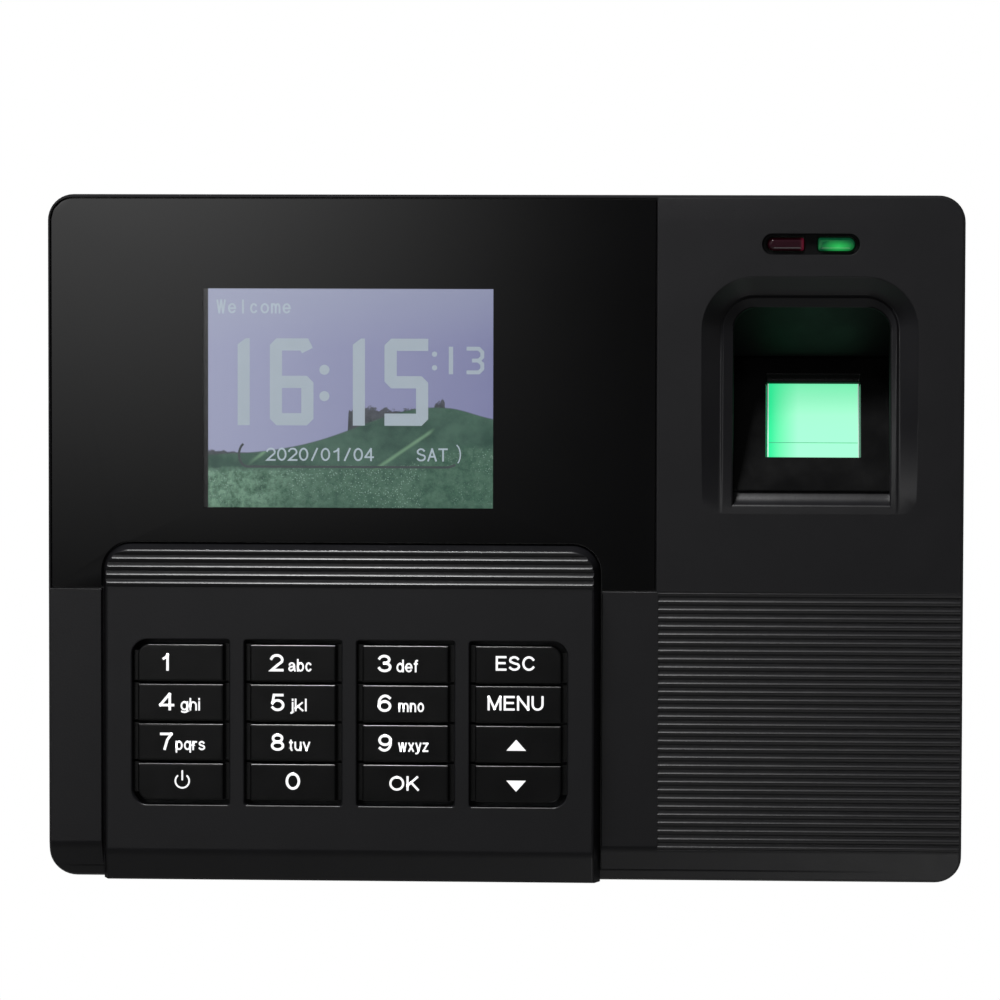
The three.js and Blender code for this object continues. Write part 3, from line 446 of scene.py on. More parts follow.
# ---------- materials ----------
def shader(name, colour, roughness, metallic=0.0, specular=0.5):
    """A new material with its Principled shader and the object coordinates in metres."""
    material = bpy.data.materials.new(name)
    material.use_nodes = True
    nodes = material.node_tree.nodes
    principled = nodes["Principled BSDF"]
    principled.inputs["Base Color"].default_value = (*colour, 1)
    principled.inputs["Roughness"].default_value = roughness
    principled.inputs["Metallic"].default_value = metallic
    principled.inputs["Specular IOR Level"].default_value = specular
    coordinates = nodes.new("ShaderNodeTexCoord")
    return material, principled, coordinates.outputs["Object"]


def node(material, kind, **inputs):
    made = material.node_tree.nodes.new(kind)
    for key, value in inputs.items():
        made.inputs[key.replace("_", " ")].default_value = value
    return made


def link(material, source, target):
    material.node_tree.links.new(source, target)


def noise(material, place, scale, detail=3.0, roughness=0.55):
    made = node(material, "ShaderNodeTexNoise", Scale=scale, Detail=detail, Roughness=roughness)
    link(material, place, made.inputs["Vector"])
    return made.outputs["Fac"]


def spread(material, factor, low, high, from_low=0.3, from_high=0.7):
    """Maps a 0..1 texture value onto a range."""
    made = node(material, "ShaderNodeMapRange")
    made.inputs["From Min"].default_value = from_low
    made.inputs["From Max"].default_value = from_high
    made.inputs["To Min"].default_value = low
    made.inputs["To Max"].default_value = high
    link(material, factor, made.inputs["Value"])
    return made.outputs["Result"]


def tint(material, principled, factor, dark, light):
    """Drives the base colour between two colours."""
    ramp = material.node_tree.nodes.new("ShaderNodeValToRGB")
    ramp.color_ramp.elements[0].color = (*dark, 1)
    ramp.color_ramp.elements[1].color = (*light, 1)
    ramp.color_ramp.elements[0].position = 0.3
    ramp.color_ramp.elements[1].position = 0.7
    link(material, factor, ramp.inputs["Fac"])
    link(material, ramp.outputs["Color"], principled.inputs["Base Color"])
    return ramp


def bump(material, principled, height, distance, strength=1.0):
    made = node(material, "ShaderNodeBump", Strength=strength, Distance=distance)
    link(material, height, made.inputs["Height"])
    link(material, made.outputs["Normal"], principled.inputs["Normal"])
    return made


def moulded(name, dark, light, rough_low, rough_high, grain=0.000012, grain_scale=2600):
    """Moulded plastic with a fine spark-eroded grain, uneven gloss and a faint cloudiness."""
    material, principled, place = shader(name, light, rough_low)
    tint(material, principled, noise(material, place, 90, 5, 0.6), dark, light)
    rough = spread(material, noise(material, place, 240, 4), rough_low, rough_high)
    link(material, rough, principled.inputs["Roughness"])
    bump(material, principled, noise(material, place, grain_scale, 2), grain)
    return material


def case_plastic():
    return moulded("case_plastic", (0.0098, 0.0096, 0.0113), (0.0122, 0.0119, 0.0139), 0.29, 0.33)


def panel_plastic():
    return moulded("panel_plastic", (0.0092, 0.0091, 0.0108), (0.0114, 0.0113, 0.0134), 0.31, 0.35)


def key_plastic():
    return moulded("key_plastic", (0.0013, 0.0013, 0.0015), (0.0019, 0.0019, 0.0022), 0.19, 0.24,
                   0.000003, 4200)


def moulded_black():
    return moulded("moulded_black", (0.012, 0.012, 0.013), (0.018, 0.018, 0.019), 0.45, 0.6)


def pocket_painted_shade():
    """A darker, duller copy of the case plastic for the walls of the finger pocket and the light slot:
    painted shade in these recesses.
    """
    material = moulded("pocket_painted_shade", (0.004, 0.004, 0.0045), (0.0055, 0.0055, 0.006), 0.5, 0.6)
    principled = material.node_tree.nodes["Principled BSDF"]
    principled.inputs["Specular IOR Level"].default_value = 0.16
    return material


def window_gloss():
    """Black acrylic, polished, with the faintest unevenness in its polish."""
    material, principled, place = shader("window_gloss", (0.0035, 0.0035, 0.0038), 0.03)
    rough = spread(material, noise(material, place, 60, 3), 0.02, 0.045)
    link(material, rough, principled.inputs["Roughness"])
    tint(material, principled, noise(material, place, 35, 3), (0.003, 0.003, 0.0032),
         (0.0042, 0.0042, 0.0046))
    return material


def window_clear():
    """The unprinted part of the same acrylic, over the picture."""
    material, principled, place = shader("window_clear", (0.93, 0.94, 0.95), 0.02)
    principled.inputs["Transmission Weight"].default_value = 1
    principled.inputs["IOR"].default_value = 1.49
    rough = spread(material, noise(material, place, 60, 3), 0.0, 0.02)
    link(material, rough, principled.inputs["Roughness"])
    return material


def cover_gloss():
    material, principled, place = shader("cover_gloss", (0.0028, 0.0028, 0.0031), 0.22,
                                         specular=0.22)
    rough = spread(material, noise(material, place, 110, 4), 0.18, 0.28)
    link(material, rough, principled.inputs["Roughness"])
    tint(material, principled, noise(material, place, 70, 3), (0.0024, 0.0024, 0.0026),
         (0.0034, 0.0034, 0.0036))
    return material


def legend_ink_and_painted_glow():
    material, principled, place = shader("legend_ink_and_painted_glow", (0.86, 0.86, 0.87), 0.5)
    tint(material, principled, noise(material, place, 1500, 2), (0.84, 0.84, 0.85), (0.93, 0.93, 0.94))
    # The white emission is a painted glow that brightens the printed legends.
    principled.inputs["Emission Color"].default_value = (1, 1, 1, 1)
    principled.inputs["Emission Strength"].default_value = 0.75
    return material


def metal(name, colour, rough_low, rough_high, brushed=False):
    material, principled, place = shader(name, colour, rough_low, 1.0)
    if brushed:
        squeeze = node(material, "ShaderNodeMapping", Scale=(40, 3000, 3000))
        link(material, place, squeeze.inputs["Vector"])
        place = squeeze.outputs["Vector"]
        grain = noise(material, place, 1, 3)
    else:
        grain = noise(material, place, 900, 5)
    rough = spread(material, grain, rough_low, rough_high)
    link(material, rough, principled.inputs["Roughness"])
    darker = tuple(c * 0.82 for c in colour)
    tint(material, principled, grain, darker, colour)
    bump(material, principled, grain, 0.00001)
    return material


def rubber():
    material, principled, place = shader("silicone_rubber", (0.14, 0.145, 0.15), 0.75)
    tint(material, principled, noise(material, place, 300, 4), (0.12, 0.125, 0.13), (0.17, 0.175, 0.18))
    bump(material, principled, noise(material, place, 1800, 3), 0.00002)
    return material


def circuit_board():
    """Green solder mask over copper tracks, which run in cells as straight stretches."""
    material, principled, place = shader("circuit_board", (0.01, 0.09, 0.035), 0.35)
    cells = node(material, "ShaderNodeTexVoronoi", Scale=380)
    cells.distance = "CHEBYCHEV"
    cells.feature = "F2"
    link(material, place, cells.inputs["Vector"])
    tracks = spread(material, cells.outputs["Distance"], 0.0, 1.0, 0.75, 0.8)
    tint(material, principled, tracks, (0.007, 0.07, 0.025), (0.02, 0.16, 0.06))
    bump(material, principled, tracks, 0.00003)
    return material


def red_lens():
    """An unlit dark red light guide with a painted highlight at its inner end: a lighter base colour and
    a faint glow there.
    """
    material, principled, place = shader("lens_red", (0.03, 0.004, 0.01), 0.12)
    principled.inputs["Coat Weight"].default_value = 0.5
    axis = node(material, "ShaderNodeSeparateXYZ")
    link(material, place, axis.inputs["Vector"])
    # Painted highlight: towards the inner end the colour turns lighter and a faint glow rises.
    right = (LED_X - LENS_OFFSET + LENS_WIDTH / 2) * MM
    edge = spread(material, axis.outputs["X"], 0.0, 1.0, right - 0.0009, right)
    tint(material, principled, edge, (0.02, 0.003, 0.008), (0.16, 0.005, 0.03))
    glow = node(material, "ShaderNodeMapRange")
    glow.inputs["From Min"].default_value = 0.0
    glow.inputs["From Max"].default_value = 1.0
    glow.inputs["To Min"].default_value = 0.004
    glow.inputs["To Max"].default_value = 0.07
    link(material, edge, glow.inputs["Value"])
    principled.inputs["Emission Color"].default_value = (1, 0.04, 0.16, 1)
    link(material, glow.outputs["Result"], principled.inputs["Emission Strength"])
    return material


def green_lens():
    """A lit green light guide, brightest low in its middle and blue-green at its inner end."""
    material, principled, place = shader("lens_green", (0.01, 0.12, 0.03), 0.1)
    principled.inputs["Coat Weight"].default_value = 0.5
    centre = (LED_X + LENS_OFFSET + 0.4) * MM
    shift = node(material, "ShaderNodeMapping")
    shift.inputs["Location"].default_value = (-centre / 0.0034, 0, -(LED_Z - 0.5) * MM / 0.0014)
    shift.inputs["Scale"].default_value = (1 / 0.0034, 0, 1 / 0.0014)
    link(material, place, shift.inputs["Vector"])
    ball = node(material, "ShaderNodeTexGradient")
    ball.gradient_type = "SPHERICAL"
    link(material, shift.outputs["Vector"], ball.inputs["Vector"])
    ramp = material.node_tree.nodes.new("ShaderNodeValToRGB")
    ramp.color_ramp.elements[0].color = (0.002, 0.05, 0.02, 1)
    ramp.color_ramp.elements[1].color = (0.03, 0.62, 0.12, 1)
    link(material, ball.outputs["Fac"], ramp.inputs["Fac"])
    link(material, ramp.outputs["Color"], principled.inputs["Emission Color"])
    principled.inputs["Emission Strength"].default_value = 0.8
    tint(material, principled, noise(material, place, 700, 2), (0.004, 0.07, 0.02), (0.012, 0.13, 0.03))
    return material


def prism_glow():
    """The lit face of the reader: pale green, deeper at the left and along the top."""
    material, principled, place = shader("prism_glass", (0.02, 0.2, 0.1), 0.08)
    axis = node(material, "ShaderNodeSeparateXYZ")
    link(material, place, axis.inputs["Vector"])
    left = (REST_X + READER_SHIFT_X - READER_WIDTH / 2) * MM
    across = spread(material, axis.outputs["X"], 0.0, 1.0, left + 0.0008, left + 0.0062)
    up = spread(material, axis.outputs["Z"], 1.0, 0.45, 0.0245, 0.0308)
    product = node(material, "ShaderNodeMath")
    product.operation = "MULTIPLY"
    link(material, across, product.inputs[0])
    link(material, up, product.inputs[1])
    ramp = material.node_tree.nodes.new("ShaderNodeValToRGB")
    ramp.color_ramp.elements[0].color = (0.03, 0.83, 0.31, 1)
    ramp.color_ramp.elements[1].color = (0.42, 1.0, 0.67, 1)
    link(material, product.outputs["Value"], ramp.inputs["Fac"])
    link(material, ramp.outputs["Color"], principled.inputs["Emission Color"])
    principled.inputs["Emission Strength"].default_value = 0.95
    return material


def flex_film():
    """Amber film with fine copper lines along it."""
    material, principled, place = shader("flex_film", (0.35, 0.14, 0.03), 0.35)
    wave = node(material, "ShaderNodeTexWave", Scale=320, Distortion=0)
    wave.bands_direction = "X"
    link(material, place, wave.inputs["Vector"])
    tint(material, principled, wave.outputs["Fac"], (0.42, 0.17, 0.035), (0.25, 0.09, 0.02))
    bump(material, principled, wave.outputs["Fac"], 0.00002)
    return material


def paper_cone():
    material, principled, place = shader("speaker_paper", (0.02, 0.02, 0.02), 0.85)
    fibres = noise(material, place, 1400, 6, 0.7)
    tint(material, principled, fibres, (0.012, 0.012, 0.012), (0.035, 0.034, 0.033))
    bump(material, principled, fibres, 0.00005)
    return material


def floor_paint():
    material, principled, place = shader("pale_floor", (0.86, 0.86, 0.86), 0.7)
    tint(material, principled, noise(material, place, 3, 2), (0.85, 0.85, 0.85), (0.87, 0.87, 0.87))
    return material


# ---------- the display's picture ----------
def calculate(material, operation, first, second=None, clamp=False):
    """A Math node; each input is another node's output or a number."""
    made = material.node_tree.nodes.new("ShaderNodeMath")
    made.operation = operation
    made.use_clamp = clamp
    for socket, value in zip(made.inputs, (first, second)):
        if isinstance(value, (int, float)):
            socket.default_value = value
        elif value is not None:
            link(material, value, socket)
    return made.outputs["Value"]


def blend_colours(material, factor, first, second):
    """A mix of two colours, each a node's output or a tuple."""
    made = material.node_tree.nodes.new("ShaderNodeMix")
    made.data_type = "RGBA"
    link(material, factor, made.inputs["Factor"])
    for socket, value in ((made.inputs[6], first), (made.inputs[7], second)):
        if isinstance(value, tuple):
            socket.default_value = (*value, 1)
        else:
            link(material, value, socket)
    return made.outputs[2]


def eased(material, value, start, stop, low=0.0, high=1.0):
    """A smooth step from one level to another."""
    made = node(material, "ShaderNodeMapRange")
    made.interpolation_type = "SMOOTHSTEP"
    for name, number in (("From Min", start), ("From Max", stop), ("To Min", low),
                         ("To Max", high)):
        made.inputs[name].default_value = number
    link(material, value, made.inputs["Value"])
    return made.outputs["Result"]


def above(material, v, line, soft):
    """0 below a height on the picture, 1 above it."""
    return spread(material, calculate(material, "SUBTRACT", v, line), 0, 1, -soft, soft)


def picture_sky(material, place, u, v):
    haze = noise(material, place, 26, 4)
    across = calculate(material, "ADD", u, calculate(material, "MULTIPLY", haze, 0.3))
    sky = blend_colours(material, spread(material, across, 0, 1, 0.1, 1.15),
                        (0.335, 0.352, 0.505), (0.215, 0.222, 0.392))
    high = spread(material, v, 0, 0.55, 0.72, 1.05)
    return blend_colours(material, high, sky, (0.36, 0.39, 0.50))


def hill_ridge(material, u):
    """The height of the hill's top across the picture."""
    wave = calculate(material, "SINE", calculate(material, "MULTIPLY", u, 11.0))
    ridge = calculate(material, "ADD", eased(material, u, 0.1, 0.83, 0.24, 0.455),
                      calculate(material, "MULTIPLY", wave, 0.008))
    return calculate(material, "SUBTRACT", ridge, eased(material, u, 0.84, 1.04, 0, 0.045))


def between(material, u, rise, fall):
    """1 between two soft edges across the picture, 0 outside them."""
    return calculate(material, "MULTIPLY", eased(material, u, *rise),
                     eased(material, u, *fall, 1, 0))


def picture_trees(material, place, u, v, ridge, sky):
    """A wood, a copse and a low hedge that stand up from the ridge."""
    leaves = noise(material, place, 700, 5, 0.75)
    ragged = calculate(material, "MULTIPLY", calculate(material, "SUBTRACT", leaves, 0.5), 0.12)
    wood_side = between(material, u, (0.478, 0.495), (0.728, 0.745))
    wood_top = calculate(material, "ADD", calculate(material, "MULTIPLY", wood_side, 0.45),
                         calculate(material, "MULTIPLY", wood_side, ragged))
    copse_side = between(material, u, (0.75, 0.8), (0.825, 0.87))
    copse_top = calculate(material, "MULTIPLY", copse_side,
                          calculate(material, "ADD", ragged, 0.485))
    hedge = calculate(material, "MULTIPLY", eased(material, u, 0.0, 0.16, 0.02, 0),
                      spread(material, leaves, 0.2, 1.6))
    tree_top = calculate(material, "MAXIMUM", calculate(material, "MAXIMUM", wood_top, copse_top),
                         calculate(material, "ADD", ridge, hedge))
    bark = blend_colours(material, spread(material, leaves, 0, 1, 0.35, 0.65),
                         (0.022, 0.03, 0.035), (0.085, 0.09, 0.11))
    return blend_colours(material, above(material, v, tree_top, 0.003), bark, sky)


def picture_hill(material, turf, u, v, ridge, far):
    """The grass hill with two worn trails, in front of what is far."""
    slope = blend_colours(material, spread(material, turf, 0, 1, 0.36, 0.62),
                          (0.02, 0.062, 0.045), (0.058, 0.128, 0.092))
    for rise, drop, start, stop in ((0.893, -0.348, 0.5, 0.8), (0.95, 0.065, 0.13, 0.22)):
        line = calculate(material, "ADD", calculate(material, "MULTIPLY", u, rise), drop)
        away = calculate(material, "ABSOLUTE", calculate(material, "SUBTRACT", v, line))
        near = between(material, u, (start, start + 0.06), (stop - 0.03, stop))
        trail = calculate(material, "MULTIPLY", near,
                          spread(material, away, 0.5, 0, 0.002, 0.014))
        slope = blend_colours(material, trail, slope, (0.26, 0.46, 0.27))
    return blend_colours(material, above(material, v, ridge, 0.004), slope, far)


def picture_meadow(material, place, turf, u, v, far):
    """Rough grass with pale flecks along the bottom, in front of what is far."""
    edge = calculate(material, "ADD", calculate(material, "MULTIPLY", turf, 0.07),
                     eased(material, u, 0.6, 0.95, 0.145, 0.25))
    grass = noise(material, place, 620, 7, 0.8)
    meadow = blend_colours(material, spread(material, grass, 0, 1, 0.38, 0.6),
                           (0.018, 0.075, 0.042), (0.17, 0.31, 0.215))
    deep = eased(material, u, 0.05, 0.45, 0, 0.66)
    meadow = blend_colours(material, deep, meadow, (0.028, 0.082, 0.056))
    flecks = node(material, "ShaderNodeTexVoronoi", Scale=2300)
    link(material, place, flecks.inputs["Vector"])
    dots = spread(material, flecks.outputs["Distance"], 1, 0, 0.14, 0.3)
    patch = spread(material, noise(material, place, 110, 3), 0, 1, 0.42, 0.58)
    dots = calculate(material, "MULTIPLY", dots, patch)
    meadow = blend_colours(material, dots, meadow, (0.3, 0.43, 0.36))
    return blend_colours(material, above(material, v, edge, 0.014), meadow, far)


def inside_picture(material, u, v):
    """1 on the picture and 0 outside it."""
    inside = None
    for value in (u, v):
        for low, high in ((0, 0.0015), (1, 0.9985)):
            side = spread(material, value, 0, 1, low, high)
            inside = side if inside is None else calculate(material, "MULTIPLY", inside, side)
    return inside


def picture_glow():
    """A lit picture of a plain grass hill under a hazy sky, drawn by formula."""
    material, principled, place = shader("display_glass", (0.01, 0.01, 0.012), 0.3)
    axis = node(material, "ShaderNodeSeparateXYZ")
    link(material, place, axis.inputs["Vector"])
    left, right = (PICTURE["left"] + PICTURE_MARGIN) * MM, PICTURE["right"] * MM
    bottom, top = PICTURE["bottom"] * MM, PICTURE["top"] * MM
    u = spread(material, axis.outputs["X"], 0, 1, left, right)
    v = spread(material, axis.outputs["Z"], 0, 1, bottom, top)
    turf = noise(material, place, 150, 7, 0.7)
    ridge = hill_ridge(material, u)
    picture = picture_sky(material, place, u, v)
    picture = picture_trees(material, place, u, v, ridge, picture)
    picture = picture_hill(material, turf, u, v, ridge, picture)
    picture = picture_meadow(material, place, turf, u, v, picture)
    picture = blend_colours(material, inside_picture(material, u, v), (0.0, 0.0, 0.0), picture)
    link(material, picture, principled.inputs["Emission Color"])
    principled.inputs["Emission Strength"].default_value = 1.0
    return material


def display_ink(name, strength):
    """The pale lit strokes of the figures on the display."""
    material, principled, place = shader(name, (0.1, 0.12, 0.14), 0.4)
    tone = noise(material, place, 200, 2)
    ramp = material.node_tree.nodes.new("ShaderNodeValToRGB")
    ramp.color_ramp.elements[0].color = (0.345, 0.405, 0.455, 1)
    ramp.color_ramp.elements[1].color = (0.385, 0.44, 0.49, 1)
    link(material, tone, ramp.inputs["Fac"])
    link(material, ramp.outputs["Color"], principled.inputs["Emission Color"])
    principled.inputs["Emission Strength"].default_value = strength
    return material


def display_shade():
    material, principled, place = shader("display_shade", (0.01, 0.01, 0.012), 0.4)
    tone = noise(material, place, 300, 2)
    ramp = material.node_tree.nodes.new("ShaderNodeValToRGB")
    ramp.color_ramp.elements[0].color = (0.035, 0.045, 0.05, 1)
    ramp.color_ramp.elements[1].color = (0.06, 0.07, 0.075, 1)
    link(material, tone, ramp.inputs["Fac"])
    link(material, ramp.outputs["Color"], principled.inputs["Emission Color"])
    principled.inputs["Emission Strength"].default_value = 1.0
    return material


CASE = case_plastic()
PANEL_PLASTIC = panel_plastic()
KEY_PLASTIC = key_plastic()
BLACK = moulded_black()
POCKET_PAINTED_SHADE = pocket_painted_shade()
GLOSS = window_gloss()
CLEAR = window_clear()
COVER_GLOSS = cover_gloss()
INK_AND_PAINTED_GLOW = legend_ink_and_painted_glow()
STEEL = metal("bright_steel", (0.55, 0.56, 0.57), 0.22, 0.38)
BRUSHED = metal("brushed_steel", (0.5, 0.51, 0.52), 0.28, 0.42, brushed=True)
DARK_SCREW = metal("black_screw", (0.035, 0.035, 0.037), 0.3, 0.45)
GOLD = metal("contact_gold", (0.75, 0.55, 0.22), 0.2, 0.3)
RUBBER = rubber()
BOARD = circuit_board()
FILM = flex_film()
CONE = paper_cone()
FERRITE = moulded("ferrite", (0.03, 0.03, 0.032), (0.05, 0.05, 0.052), 0.5, 0.65)


# ---------- housing ----------
def set_back(z, start):
    """How far the lower chamfer sets the face back at height z, eased in where it begins."""
    drop = start - z
    if drop <= -CHAMFER_BLEND:
        return 0.0
    if drop >= CHAMFER_BLEND:
        return CHAMFER_SLOPE * drop
    return CHAMFER_SLOPE * (drop + CHAMFER_BLEND) ** 2 / (4 * CHAMFER_BLEND)


def paired_ring(cx, half, bottom, top, bottom_r, top_r, heights):
    """An outline whose left half mirrors its right half, point by point."""
    bottom_r, top_r = max(bottom_r, 0.02), max(top_r, 0.02)
    right = [
        *arc(half - bottom_r, bottom + bottom_r, bottom_r, 270, 360),
        *[(half, z) for z in heights if bottom + bottom_r < z < top - top_r],
        *arc(half - top_r, top - top_r, top_r, 0, 90),
    ]
    return [(cx + x, z) for x, z in right] + [(cx - x, z) for x, z in reversed(right)]


def bent_block(cx, half, bottom, top, radii, face_y, chamfer_z, front_rows, back_rows):
    """A block whose face bends back below chamfer_z. Rows are (side inset, low inset, y); the
    front rows' y is measured from the bent face, the back rows' from the frame."""
    steps = range(-CHAMFER_STEPS, CHAMFER_STEPS + 1)
    heights = [chamfer_z + CHAMFER_BLEND * i / CHAMFER_STEPS for i in steps]

    def ring(side, low):
        return paired_ring(cx, half - side, bottom + low, top - side, radii[0] - side,
                           radii[1] - side, heights)

    rings = [
        [(x, face_y + y + set_back(z, chamfer_z), z) for x, z in ring(side, low)]
        for side, low, y in front_rows
    ]
    rings += [[(x, y, z) for x, z in ring(side, low)] for side, low, y in back_rows]
    return loft(rings, strips=True)


def flute_cutter(crests, face_y, left, right, tail=()):
    """A comb that cuts shallow concave flutes between crests in a face at y = face_y."""
    outline = [(face_y - 0.9, crests[0])]
    for top, bottom in zip(crests, crests[1:]):
        span = top - bottom
        deep = FLUTE_DEPTH * min(1, span / FLUTE_PITCH)
        for k in range(FLUTE_STEPS):
            share = k / FLUTE_STEPS
            outline.append((face_y + 4 * deep * share * (1 - share) - CREST_LIFT,
                            top - share * span))
    outline.append((face_y - CREST_LIFT, crests[-1]))
    outline += tail
    outline.append((face_y - 0.9, outline[-1][1]))
    return extrude_x(outline, left, right)


def slant_y(z):
    return COVER_Y + (z - COVER_Z) * math.tan(TILT)


def panel_footprint(gap):
    low = -HALF_HEIGHT - BEYOND
    radii = [0, 0, PANEL_R + gap, PANEL_R + gap]
    return rounded(PANEL["left"] - gap, low, PANEL["right"] + gap, PANEL["top"] + gap, radii)


def funnel_share(z):
    return min(1.0, max(0.0, (z - FUNNEL_END_Z) / (POCKET_TOP_Z - FUNNEL_END_Z)))


def arch(half, bottom, top, radius, cx=REST_X):
    heights = [FUNNEL_END_Z + extra for extra in (0, 0.5, 1, 2, 4, 8, 14, 20, 26, 31)]
    return paired_ring(cx, half, bottom, top, 0, radius, heights)


def funnel_cutter():
    """An inverted U that deepens upwards from nothing, with soft edges on both sides."""
    rows = [(-0.22, -0.01), (-0.08, 0.02), (0.06, 0.09), (0.18, 0.2), (3.3, 2.78), (3.5, 2.88),
            (3.7, FUNNEL_DEPTH - 0.08), (3.86, FUNNEL_DEPTH - 0.16), (3.96, COLLAR_DEPTH + 0.16),
            (4.06, COLLAR_DEPTH + 0.05), (4.2, COLLAR_DEPTH), (4.4, COLLAR_DEPTH + 0.06),
            (FUNNEL_BAND + 2, COLLAR_DEPTH + COLLAR_SLOPE)]
    lift = 0.015
    low = FUNNEL_END_Z - 3

    def ring(inset, depth):
        outline = arch(FUNNEL_HALF - inset, low, FUNNEL_TOP_Z - inset, FUNNEL_R - inset)
        if depth is None:
            return [(x, FACE_Y - 1, z) for x, z in outline]
        return [
            (x, FACE_Y + depth * funnel_share(z) - lift * (1 - funnel_share(z)), z)
            for x, z in outline
        ]

    rings = [ring(inset, depth) for inset, depth in reversed(rows)]
    rings.append(ring(rows[0][0], None))
    return loft(rings, strips=True)


def bezier(start, handle, end, steps=8):
    points = []
    for i in range(steps + 1):
        t = i / steps
        points.append(tuple(
            (1 - t) ** 2 * a + 2 * t * (1 - t) * b + t * t * c
            for a, b, c in zip(start, handle, end)))
    return points


def pocket_cutter():
    """The finger pocket: arched side walls with a soft rim, a sloping ceiling and a rolled lip."""
    rim = 0.4
    rim_depth = COLLAR_DEPTH + COLLAR_SLOPE * 0.93
    low = LIP_Z - 2
    rings = []
    wall = arch(POCKET_HALF, low, POCKET_TOP_Z, POCKET_R, POCKET_X)
    rings.append([(x, PARTING_Y + 4, z) for x, z in wall])
    for i in range(EDGE_STEPS + 1):
        a = math.pi / 2 * (1 - i / EDGE_STEPS)
        out = rim * (1 - math.sin(a))
        depth = rim * (1 - math.cos(a))
        outline = arch(POCKET_HALF + out, low, POCKET_TOP_Z + out, POCKET_R + out, POCKET_X)
        rings.append([(x, FACE_Y + rim_depth * funnel_share(z) + depth - 0.004, z)
                      for x, z in outline])
    outline = arch(POCKET_HALF + rim, low, POCKET_TOP_Z + rim, POCKET_R + rim, POCKET_X)
    rings.append([(x, FACE_Y - BEYOND, z) for x, z in outline])
    column = loft(rings, strips=True)

    foot = (slant_y(13.4) + 0.02, 13.4)
    knee = (-31.35, 7.25)
    inner = [
        (FACE_Y - BEYOND, POCKET_TOP_Z + 5),
        (FACE_Y + FUNNEL_DEPTH + rim, POCKET_TOP_Z + 5),
        (FACE_Y + FUNNEL_DEPTH + rim, POCKET_TOP_Z),
        *bezier((CEILING_Y - 1.2, CEILING_Z + 1), (CEILING_Y - 0.2, CEILING_Z + 0.1),
                (CEILING_Y + 0.2, CEILING_Z), 5),
        (slant_y(CEILING_Z) + 1.6, CEILING_Z),
        (slant_y(13.4) + 1.6, 13.4),
        *bezier(foot, (-29.1, 8.3), knee),
        *bezier(knee, (FACE_Y, 6.95), (FACE_Y - 0.01, LIP_Z - 0.3))[1:],
        (FACE_Y - BEYOND, LIP_Z - 0.3),
    ]
    return boolean(column, [extrude_x(inner, 0, WIDTH)], "INTERSECT")


def pocket_sleeve():
    top = POCKET_TOP_Z + SLEEVE_WALL
    back_z = CEILING_Z + SLEEVE_WALL
    outline = [
        (FACE_Y + 1, top),
        (FACE_Y + FUNNEL_DEPTH + 1.6, top),
        (slant_y(back_z), back_z),
        (slant_y(11.6), 11.6),
        (slant_y(11.6), 6),
        (FACE_Y + 1, LIP_Z - SLEEVE_WALL),
    ]
    half = POCKET_HALF + SLEEVE_WALL
    return extrude_x(outline, REST_X - half, REST_X + half)


def funnel_backing():
    reach = FUNNEL_HALF - FUNNEL_BAND + SLEEVE_WALL
    top = FUNNEL_TOP_Z - FUNNEL_BAND + SLEEVE_WALL
    back = FACE_Y + FUNNEL_DEPTH + 1.6
    return box(REST_X - reach, REST_X + reach, FACE_Y + 1.1, back, LIP_Z + 10, top)


def cover_boss(side):
    z0, z1 = COVER_Z - 3.5, COVER_Z + 3.5
    x = REST_X + side * SENSOR_SCREW_X
    outline = [(FACE_Y + 1.2, z1), (slant_y(z1), z1), (slant_y(z0), z0), (FACE_Y + 1.2, z0)]
    return extrude_x(outline, x - 3, x + 3)


def housing_cavity():
    outline = lambda inset: rounded(
        WALL - HALF_WIDTH, WALL - HALF_HEIGHT, HALF_WIDTH - WALL, HALF_HEIGHT - WALL, CORNER_R - WALL)
    whole = stack(outline, [(0, FACE_Y + WALL + 0.2), (0, PARTING_Y + BEYOND)])
    start, low = CHAMFER_Z + 1, -HALF_HEIGHT - BEYOND
    wedge = extrude_x([
        (FACE_Y - BEYOND, start), (FACE_Y - BEYOND, low),
        (FACE_Y + WALL + CHAMFER_SLOPE * (start - low), low), (FACE_Y + WALL, start),
    ], -WIDTH, WIDTH)
    thick_face = box(-WIDTH, SEAM_X + WALL, FACE_Y - 1, LEDGE_BACK_Y, -HEIGHT, HEIGHT)
    return cut(whole, wedge, thick_face)


def lens_outline(side, inset):
    rise = LENS_HEIGHT / 2 - inset
    half = LENS_WIDTH / 2 - inset
    centre = LED_X + side * LENS_OFFSET
    outer, inner = rise - 0.03, max(0.5 - inset, 0.05)
    radii = [outer, inner, inner, outer] if side < 0 else [inner, outer, outer, inner]
    return rounded(centre - half, LED_Z - rise, centre + half, LED_Z + rise, radii)


def slot_outline(inset):
    half, rise = LED_SLOT_WIDTH / 2 - inset, LED_SLOT_HEIGHT / 2 - inset
    return rounded(LED_X - half, LED_Z - rise, LED_X + half, LED_Z + rise, rise - 0.03)


def picture_opening(inset):
    reach = GLASS_BORDER + GAP
    return rounded(
        APERTURE_LEFT - reach + inset, PICTURE["bottom"] - reach + inset,
        PICTURE["right"] + reach - inset, PICTURE["top"] + reach - inset, 0.3)


def keypad_opening(inset):
    centres = [key_centre(column[0])[0] for column in KEY_COLUMNS]
    half = WELL_WIDTH / 2 + 1.5 - inset
    return rounded(centres[0] - half, WELL_BOTTOM_Z - 1 + inset, centres[-1] + half,
                   WELL_TOP_Z + 1 - inset, 1.5)


def window_recess(inset):
    left = -HALF_WIDTH + WINDOW_INSET - GAP + inset
    top = HALF_HEIGHT - WINDOW_INSET + GAP - inset
    radius = CORNER_R - WINDOW_INSET + GAP - inset
    return rounded(left, SEAM_Z - GAP + inset, SEAM_X - inset, top, [0.1, 0.1, 0.1, radius])


def pillars(radius, front, back):
    return [
        bar_y(x * CASE_SCREW_X, z * CASE_SCREW_Z, radius, front, back)
        for x in (-1, 1) for z in (-1, 1)
    ]


